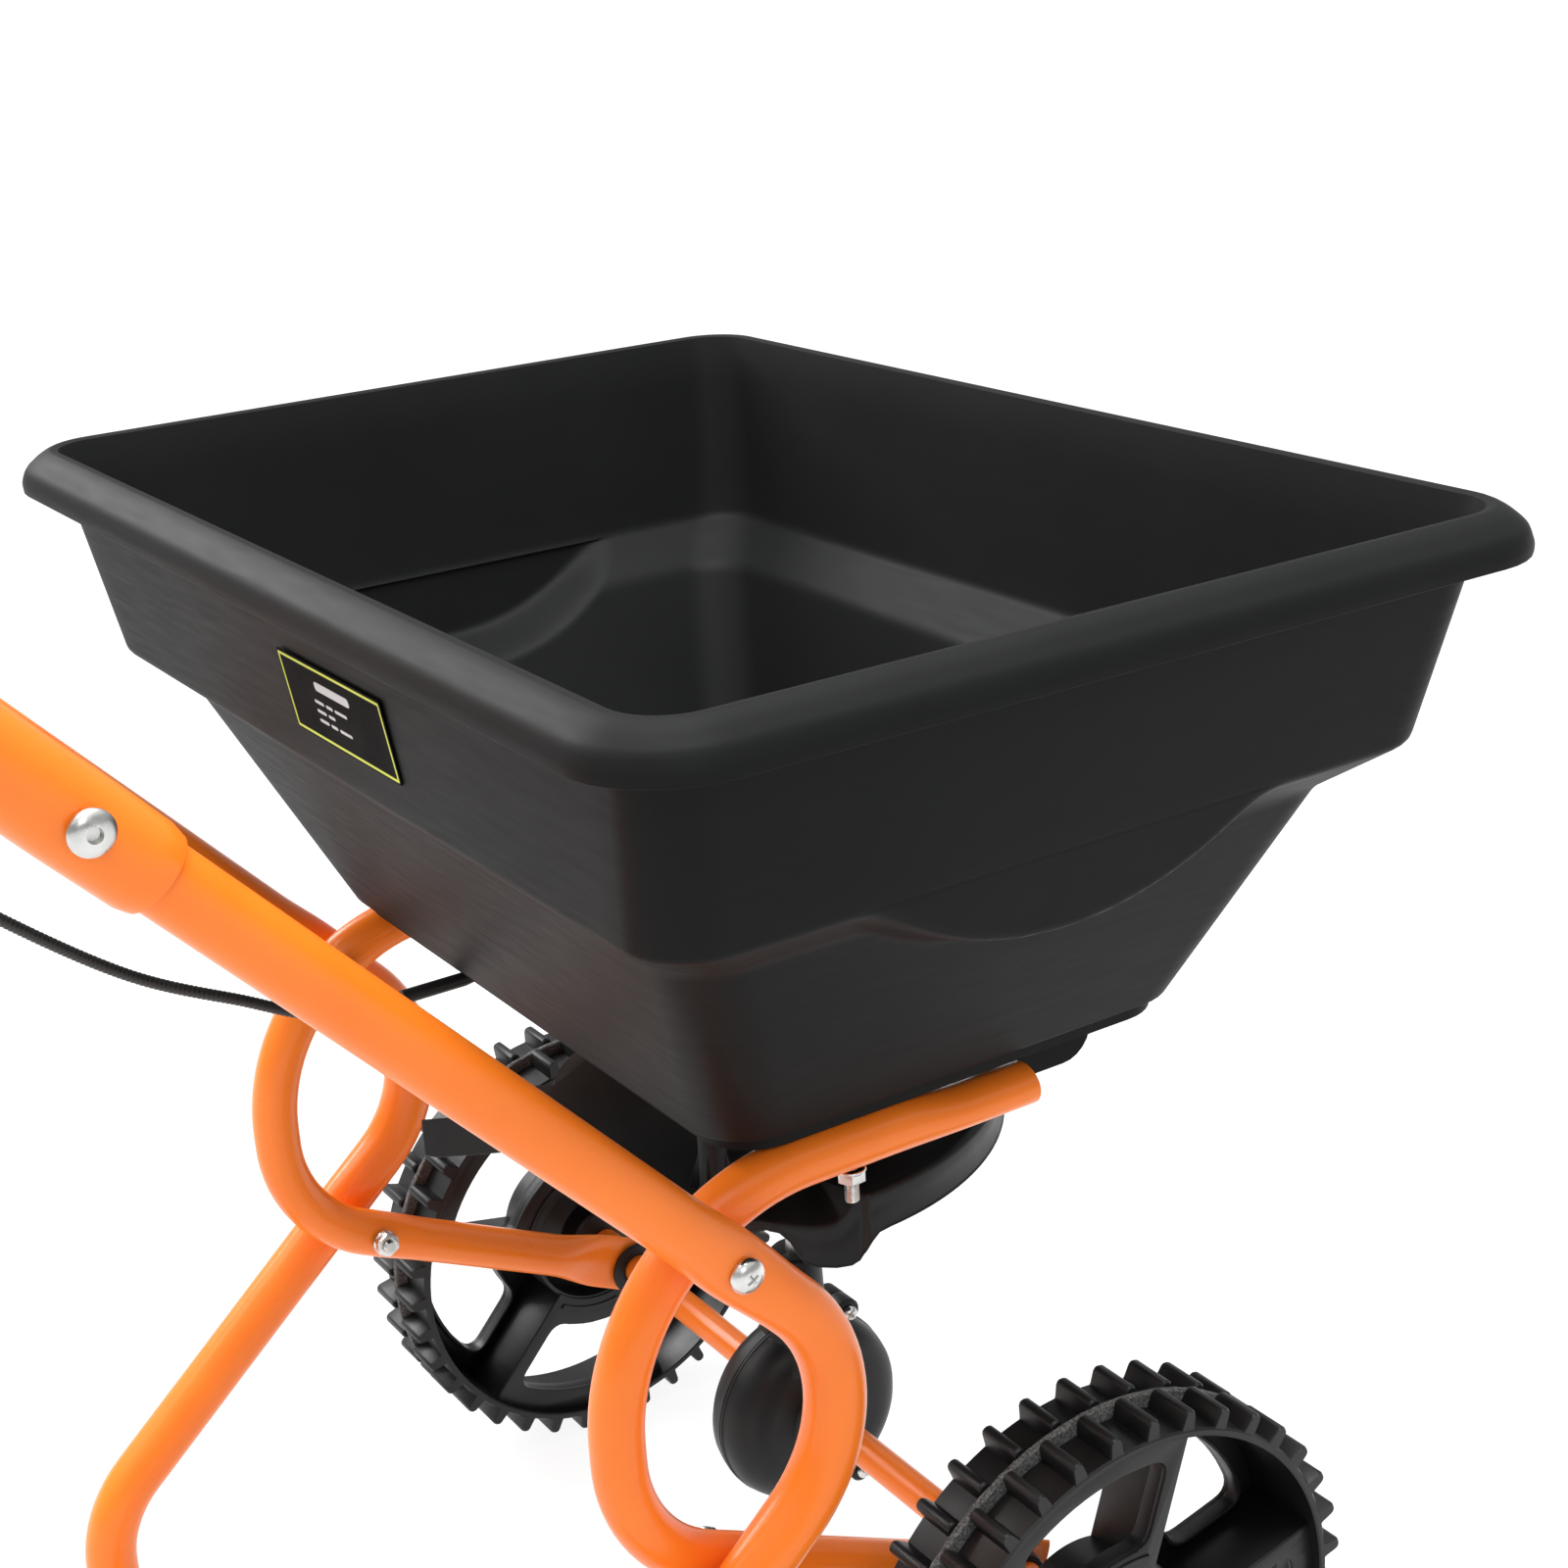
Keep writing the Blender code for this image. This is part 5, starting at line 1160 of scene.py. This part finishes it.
def make_shroud():
    """Cover over the spinner: a plate open behind, a skirt with two deep tabs, three posts."""
    centre = at(0, SHROUD_Y, 0)
    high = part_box("spinner_shroud")[1]
    angles = [WALL_EDGE[0][0]]
    while angles[-1] < WALL_EDGE[-1][0] - 0.2:
        fine = -26.0 < angles[-1] < 4.0
        angles.append(min(angles[-1] + (0.35 if fine else 1.2), WALL_EDGE[-1][0]))
    rings = []
    sheet = []
    for angle in angles:
        turn = math.radians(angle)
        row = wall_row(angle)
        sheet.append(((row[0][0] + 0.0002) * math.cos(turn), (row[0][0] + 0.0002) * math.sin(turn)))
        rings.append([centre + Vector((r * math.cos(turn), r * math.sin(turn), z)) for r, z in row])
    parts = [loft("skirt", rings)]
    gap = [math.radians(a) for a in SHROUD_GAP]
    sheet += arc(0.0660, 14, gap[0], gap[1] - gap[0])
    middle = Matrix.Translation(centre + Vector((0, 0, SHROUD_TOP - 0.0011)))
    mouth = (0.0, MOUTH_Y - SHROUD_Y)
    parts.append(plate("top", [sheet, circle(0.0423, 72, mouth)[::-1]], 0.0022, middle, 0.0004, 2))
    parts.append(lathe("bead", [(0.0421, SHROUD_TOP - 0.0024), (0.0441, SHROUD_TOP - 0.0024), (0.0441,
                 SHROUD_TOP + 0.0014),
                                (0.0435, SHROUD_TOP + 0.0021), (0.0427, SHROUD_TOP + 0.0021), (0.0421,
                                    SHROUD_TOP + 0.0014)],
                       at(0, MOUTH_Y, 0), Z_AXIS, 96))
    upright = Matrix(((1, 0, 0, 0), (0, 0, -1, 0), (0, 1, 0, 0), (0, 0, 0, 1)))
    web = [(-0.0196, SHROUD_TOP - 0.0016), (0.0, SHROUD_TOP - 0.0120), (0.0, 0.2812), (-0.0018, 0.2803), (-0.0050,
           0.2803),
           (-0.0068, 0.2818), (-0.0124, SHROUD_TOP - 0.0150)]
    spot = Matrix.Rotation(math.radians(TAB_CORNER), 4, "Z") @ Matrix.Translation((SHROUD_R - 0.0036, 0, 0))
    parts.append(plate("fold", [web], 0.0020, Matrix.Translation(centre) @ spot @ upright, 0.0005, 2))
    rings = []
    for k in range(25):
        run = FIN_NEAR + (FIN_END - FIN_NEAR) * k / 24
        rise = smooth_step((run - 0.0840) / 0.030)
        ceiling = SHROUD_TOP - 0.0012 - 0.0110 * rise
        floor = (0.2790 + 0.0026 * smooth_step((0.0800 - run) / 0.016)
                 + 0.0016 * smooth_step((run - FIN_END + 0.0050) / 0.0050))
        section = ((-0.0010, ceiling - 0.0004), (-0.0006, ceiling), (0.0006, ceiling), (0.0010, ceiling - 0.0004),
                   (0.0010, floor + 0.0006), (0.0006, floor + 0.0002), (-0.0016, floor), (-0.0046, floor + 0.0004),
                   (-0.0052, floor + 0.0014), (-0.0046, floor + 0.0024), (-0.0020, floor + 0.0030), (-0.0010,
                       floor + 0.0044))
        rings.append([(run, side, z) for side, z in section])
    parts.append(loft("fin", rings, matrix=Matrix.Translation(centre) @ Matrix.Rotation(math.radians(FIN_ANGLE), 4,
                 "Z")))
    for x, y in ((0.096, -0.070), (0.096, 0.066), (-0.096, 0.066)):
        post = [(0.0, SHROUD_TOP - 0.0010), (0.0076, SHROUD_TOP - 0.0010), (0.0074, SHROUD_TOP + 0.0004), (0.0062,
                SHROUD_TOP + 0.0030),
                (0.0058, high.z - 0.0008), (0.0052, high.z), (0.0, high.z)]
        parts.append(lathe("post", post, at(x, y, 0), Z_AXIS, 32, closed=False))
        for turn in (0.6, 0.6 + math.pi / 2):
            bm = bmesh.new()
            bmesh.ops.create_cube(bm, size=1.0)
            bm.transform(Matrix.Translation(at(x, y, SHROUD_TOP + 0.0100)) @ Matrix.Rotation(turn, 4, "Z")
                         @ Matrix.Diagonal((0.0240, 0.0018, 0.0220, 1.0)))
            for vert in bm.verts:
                if vert.co.z > SHROUD_TOP + 0.010:
                    vert.co.x += (at(x, y, 0).x - vert.co.x) * 0.55
                    vert.co.y += (at(x, y, 0).y - vert.co.y) * 0.55
            parts.append(bevel(from_bmesh("gusset", bm), 0.0005, 2))
    place(joined("shroud_cover", parts), SHROUD, "frame", "spinner_shroud", sharp=40.0)


# ---- controls and cable ---------------------------------------------------------------


def general_sweep(name, path, radius, sides=16):
    """Round sweep along any path. radius(k) is the radius at point k."""
    tangent = (path[1] - path[0]).normalized()
    normal = tangent.orthogonal().normalized()
    rings = []
    for k, point in enumerate(path):
        new = (path[min(k + 1, len(path) - 1)] - path[max(k - 1, 0)]).normalized()
        normal = tangent.rotation_difference(new) @ normal
        normal = (normal - new * normal.dot(new)).normalized()
        tangent = new
        side = tangent.cross(normal)
        r = radius(k)
        rings.append([point + normal * r * math.cos(a) + side * r * math.sin(a)
                      for a in (2 * math.pi * s / sides for s in range(sides))])
    return loft(name, rings)


def control_frame(x):
    """U up the handle, V square above it, about the lever's pivot."""
    turn = Matrix((UP, OVER, UP.cross(OVER))).transposed().to_4x4()
    return Matrix.Translation(on_handle(BRACE_S, PIVOT_OVER, x)) @ turn


def smooth_route(knots, per_span):
    knots = [knots[0] * 2 - knots[1]] + knots + [knots[-1] * 2 - knots[-2]]
    points = []
    for a, b, c, d in zip(knots, knots[1:], knots[2:], knots[3:]):
        for k in range(per_span):
            t = k / per_span
            points.append(0.5 * (2 * b + (c - a) * t + (2 * a - 5 * b + 4 * c - d) * t ** 2
                                 + (3 * b - a - 3 * c + d) * t ** 3))
    points.append(knots[-2])
    return points


def resampled(points, step):
    """The same path with points an even step apart."""
    out = [points[0].copy()]
    left = step
    for first, second in zip(points, points[1:]):
        length = (second - first).length
        done = 0.0
        while length - done >= left:
            done += left
            out.append(first.lerp(second, done / length))
            left = step
        left -= length - done
    out.append(points[-1].copy())
    return out


def make_cable():
    start = control_frame(0.0) @ Vector((-0.066, 0.030, 0.0))
    start.x = -0.0070
    low = [(-0.010, -0.545, 0.790), (-0.016, -0.480, 0.660), (-0.024, -0.404, 0.549), (-0.040, -0.324, 0.471),
           (-0.057, -0.257, 0.412), (-0.065, -0.203, 0.380), (-0.068, -0.178, 0.3660), (-0.070, -0.155, 0.3590),
           (-0.070, -0.1406, 0.3580)]
    route = [start + UP * 0.010, start - UP * 0.010, start - UP * 0.030] + [at(*p) for p in low]
    path = resampled(smooth_route(route, 24), 0.0006)
    cable = general_sweep("cable_sheath", path, lambda k: 0.00268 if k % 4 < 2 else 0.00242, 16)
    place(cable, SHEATH, "frame", "control_cable", sharp=80.0)
    low, high, middle = box_of("cable_ferrule")
    r, length = (high.x - low.x) / 2, high.y - low.y
    profile = [(0.0013, 0.0), (r - 0.0006, 0.0), (r, 0.0006), (r, 0.008), (r - 0.0004, 0.0084), (r - 0.0004, 0.0104),
               (r, 0.0108),
               (r, length - 0.006), (r - 0.0008, length), (0.0013, length)]
    ferrule = lathe("sheath_end", profile, (middle.x, low.y, middle.z), Y_AXIS, 32)
    place(ferrule, SHEATH, "frame", "cable_ferrule", sharp=30.0)


def make_lever():
    low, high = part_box("control_lever")
    thick = high.x - low.x
    x = (low.x + high.x) / 2
    rest = math.radians(125)
    along = Vector((math.cos(rest), math.sin(rest), 0))
    across = Vector((-along.y, along.x, 0))

    def spot(run, side):
        return tuple((along * run + across * side)[:2])

    loop = [spot(0.1496, -0.0070), spot(0.1496, 0.0070), spot(0.125, 0.0084), spot(0.060, 0.0082), spot(0.030,
            0.0095)]
    loop += arc(0.0119, 25, rest + math.pi / 2 + 0.25, math.pi - 0.5)
    loop += [spot(0.030, -0.0095), spot(0.060, -0.0082), spot(0.125, -0.0084)]
    slot = [spot(0.0485 + 0.0030 * math.cos(a),
            0.0030 * math.sin(a)) for a in (math.pi / 2 + math.pi * k / 8 for k in range(9))]
    slot += [spot(0.0900 + 0.0030 * math.cos(a),
             0.0030 * math.sin(a)) for a in (-math.pi / 2 + math.pi * k / 8 for k in range(9))]
    arm = plate("lever_arm", [loop, circle(0.0034, 28)[::-1], slot[::-1]], thick - 0.0002, control_frame(x), 0.0006,
                3)
    place(arm, ZINC, "lever", "control_lever", sharp=34.0)
    end = control_frame(x) @ (along * 0.112)
    tip = control_frame(x) @ (along * 0.168)
    way = (tip - end).normalized()
    length = (tip - end).length
    profile = [(0.0, 0.0004), (0.0100, 0.0004), (0.0116, 0.0020), (0.0120, 0.0050), (0.0124, 0.0100)]
    for k in range(5):
        z = 0.0150 + 0.0070 * k
        r = 0.0126 + 0.0009 * math.sin(math.pi * (k + 1) / 6)
        profile += [(r, z - 0.0020), (r - 0.0007, z - 0.0010), (r - 0.0007, z + 0.0010), (r, z + 0.0020)]
    profile += [(0.0137, length - 0.0080), (0.0136, length - 0.0045), (0.0120, length - 0.0015), (0.0080,
                length - 0.0003), (0.0, length)]
    grip = lathe("lever_handle", profile, end, way, 56, closed=False)
    place(grip, RUBBER, "lever", "lever_grip", sharp=28.0)


def make_gauge():
    fan_r, slot_r, slot_half = 0.0918, 0.0790, 0.0032
    fan = arc(fan_r, 48, math.radians(32), math.radians(118)) + arc(0.0174, 24, math.radians(190), math.radians(160),
        (0.0, -PIVOT_OVER))
    slot = arc(slot_r + slot_half, 30, math.radians(38), math.radians(100))
    slot += arc(slot_r - slot_half, 30, math.radians(138), -math.radians(100))
    fan = [tuple(p[:2]) for p in soften([(*p, 0.0) for p in fan], 0.0020, 2, closed=True)]
    parts = [plate("fan", [fan, circle(0.0100, 36, (0.0, -PIVOT_OVER))[::-1], circle(0.0035, 24)[::-1], slot[::-1]],
             0.0026,
                   control_frame(0.0), 0.0004, 2)]
    for k in range(11):
        a = math.radians(38 + 10 * k)
        long = 0.0052 if k % 5 == 0 else 0.0030
        ends = [Vector((r * math.cos(a), r * math.sin(a), 0)) for r in (0.0735 - long, 0.0735)]
        side = Vector((-math.sin(a), math.cos(a), 0)) * 0.0005
        loop = [tuple(p[:2]) for p in (ends[0] - side, ends[1] - side, ends[1] + side, ends[0] + side)]
        for x in (0.0014, -0.0014):
            parts.append(plate("tick", [loop], 0.0004, control_frame(x * 0.9)))
    bracket_at = control_frame(0.0) @ Vector((-0.066, 0.030, 0.0))
    turn = Matrix((X_AXIS, OVER, UP)).transposed().to_4x4()
    size = Matrix.Diagonal((0.0118, 0.0118, 0.0138, 1.0))
    block = bevel(cube("bracket", Matrix.Translation(bracket_at + X_AXIS * -0.0060) @ turn @ size), 0.0012, 3)
    hole = lathe("hole", [(0.0, -0.02), (0.0030, -0.02), (0.0030, 0.02), (0.0, 0.02)],
                 Vector((-0.0070, bracket_at.y, bracket_at.z)), UP, 24, closed=False)
    parts.append(cut(block, hole))
    place(joined("gauge_fan", parts), SHROUD, "frame", "gauge_plate", sharp=32.0)
    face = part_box("control_lever")[1].x + 0.0003
    screw("pivot_bolt", "lever_pivot_bolt", face, 1, 0.0079, 0.0030, twist=0.3, spare=0.0)


def make_stop():
    low, high, middle = box_of("flow_stop")
    face = 0.0018
    nut = hex_piece("nut", 0.0120, high.x - face, 0.0022, (face, middle.y, middle.z), X_AXIS)
    shank = thread_piece("shank", 0.0026, 0.0, high.x - 0.0002 - low.x, (high.x - 0.0002, middle.y, middle.z),
                         -X_AXIS)
    place(joined("stop_nut", [nut, shank]), ZINC, "stop", "flow_stop", sharp=30.0)
    low, high, middle = box_of("stop_knob")
    tall, r = high.x - low.x, (high.z - low.z) / 2
    bm = bmesh.new()
    rings = []
    for height, scale, flute in ((0.0, 0.86, 0.3), (0.0010, 0.92, 0.8), (0.0030, 0.97, 1.0), (tall - 0.0030, 1.0,
                                 1.0), (tall - 0.0012, 0.97, 0.7),
                                 (tall - 0.0003, 0.88, 0.3), (tall, 0.72, 0.0)):
        ring = []
        for s in range(96):
            a = 2 * math.pi * s / 96
            radius = (r - 0.00005) * scale - 0.0007 * flute * (0.5 + 0.5 * math.cos(12 * a)) ** 2
            ring.append(bm.verts.new((radius * math.cos(a), radius * math.sin(a), height)))
        rings.append(ring)
    for a, b in zip(rings, rings[1:]):
        bridge(bm, a, b)
    bridge(bm, rings[-1], [bm.verts.new((0, 0, tall - 0.0004))])
    bridge(bm, [bm.verts.new((0, 0, 0))], rings[0])
    knob = stand(from_bmesh("stop_thumb_knob", bm), (high.x, middle.y, middle.z), -X_AXIS)
    place(knob, RUBBER, "stop", "stop_knob", sharp=30.0)


def dress_carried_nodes():
    """CAD pieces that keep their own mesh get the detailed materials."""
    wanted = {"outlet_plate": SHROUD, "shutoff_plate": ZINC, "pull_wire": STEEL, "bevel_gear": NYLON, "pinion": NYLON,
              "right_front_clip": HOPPER, "left_front_clip": HOPPER}
    for name, mat in wanted.items():
        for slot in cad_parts[name].material_slots:
            slot.material = mat


# ---- floor, light and camera ------------------------------------------------------------


def make_stage():
    bm = bmesh.new()
    bmesh.ops.create_grid(bm, x_segments=8, y_segments=8, size=60.0)
    floor = from_bmesh("studio_floor", bm)
    mat, tree, shader, where = new_material("studio_floor", (0.16, 0.16, 0.16), 0.95)
    shader.inputs["Specular IOR Level"].default_value = 0.0
    tree.links.new(blend_colour(tree, ramp(tree, noise(tree, where, 2.0), 0.0, 1.0), (0.150, 0.150, 0.150), (0.170,
                   0.170, 0.170)),
                   shader.inputs["Base Color"])
    shader.inputs["Emission Color"].default_value = (1.0, 1.0, 1.0, 1.0)
    shader.inputs["Emission Strength"].default_value = 0.90
    floor.data.materials.append(mat)


def area_light(name, place_at, target, size, energy):
    data = bpy.data.lights.new(name, "AREA")
    data.shape = "RECTANGLE"
    data.size, data.size_y = size
    data.energy = energy
    obj = bpy.data.objects.new(name, data)
    bpy.context.scene.collection.objects.link(obj)
    obj.location = place_at
    obj.rotation_euler = (Vector(target) - Vector(place_at)).to_track_quat("-Z", "Y").to_euler()


def make_lights():
    world = bpy.data.worlds.new("studio")
    bpy.context.scene.world = world
    world.use_nodes = True
    world.node_tree.nodes["Background"].inputs["Color"].default_value = (1.0, 1.0, 1.0, 1.0)
    world.node_tree.nodes["Background"].inputs["Strength"].default_value = 0.42
    target = (0.0, 0.0, 0.45)
    area_light("key", (-1.4, -2.2, 3.2), target, (1.8, 1.8), 30.0)
    area_light("left", (-3.0, -0.9, 2.5), target, (2.0, 2.0), 125.0)
    area_light("top", (0.1, 0.2, 3.2), target, (2.4, 2.4), 150.0)
    area_light("side", (3.0, -0.6, 2.2), target, (1.2, 1.6), 12.0)
    data = bpy.data.lights.new("sky", "SUN")
    data.energy = 1.2
    data.angle = math.radians(120)
    obj = bpy.data.objects.new("sky", data)
    bpy.context.scene.collection.objects.link(obj)
    obj.location = (0.0, 0.0, 5.0)


def make_camera():
    az, el, roll = math.radians(57.4), math.radians(19.9), math.radians(-3.2)
    back = Vector((math.sin(az) * math.cos(el), -math.cos(az) * math.cos(el), math.sin(el)))
    right = Vector((math.cos(az), math.sin(az), 0.0))
    up = back.cross(right)
    turned_right = right * math.cos(roll) + up * math.sin(roll)
    turned_up = up * math.cos(roll) - right * math.sin(roll)
    data = bpy.data.cameras.new("photo_view")
    data.sensor_width = 36.0
    data.lens = 58.14
    data.clip_start = 0.05
    data.clip_end = 300.0
    obj = bpy.data.objects.new("photo_view", data)
    bpy.context.scene.collection.objects.link(obj)
    turn = Matrix((turned_right, turned_up, back)).transposed().to_4x4()
    obj.matrix_world = Matrix.Translation((0.9058, -0.2698, 0.8283)) @ turn
    bpy.context.scene.camera = obj


make_hopper()
make_label()
make_frame_tubes()
make_support_tubes()
make_handle()
make_bars()
make_foot_caps()
make_grips()
make_bolts()
make_wheels()
make_axle()
make_gearbox()
make_spinner()
make_shroud()
make_cable()
make_lever()
make_gauge()
make_stop()
dress_carried_nodes()
make_stage()
make_lights()
make_camera()
bpy.context.scene.view_settings.view_transform = "Standard"

bpy.context.view_layer.update()
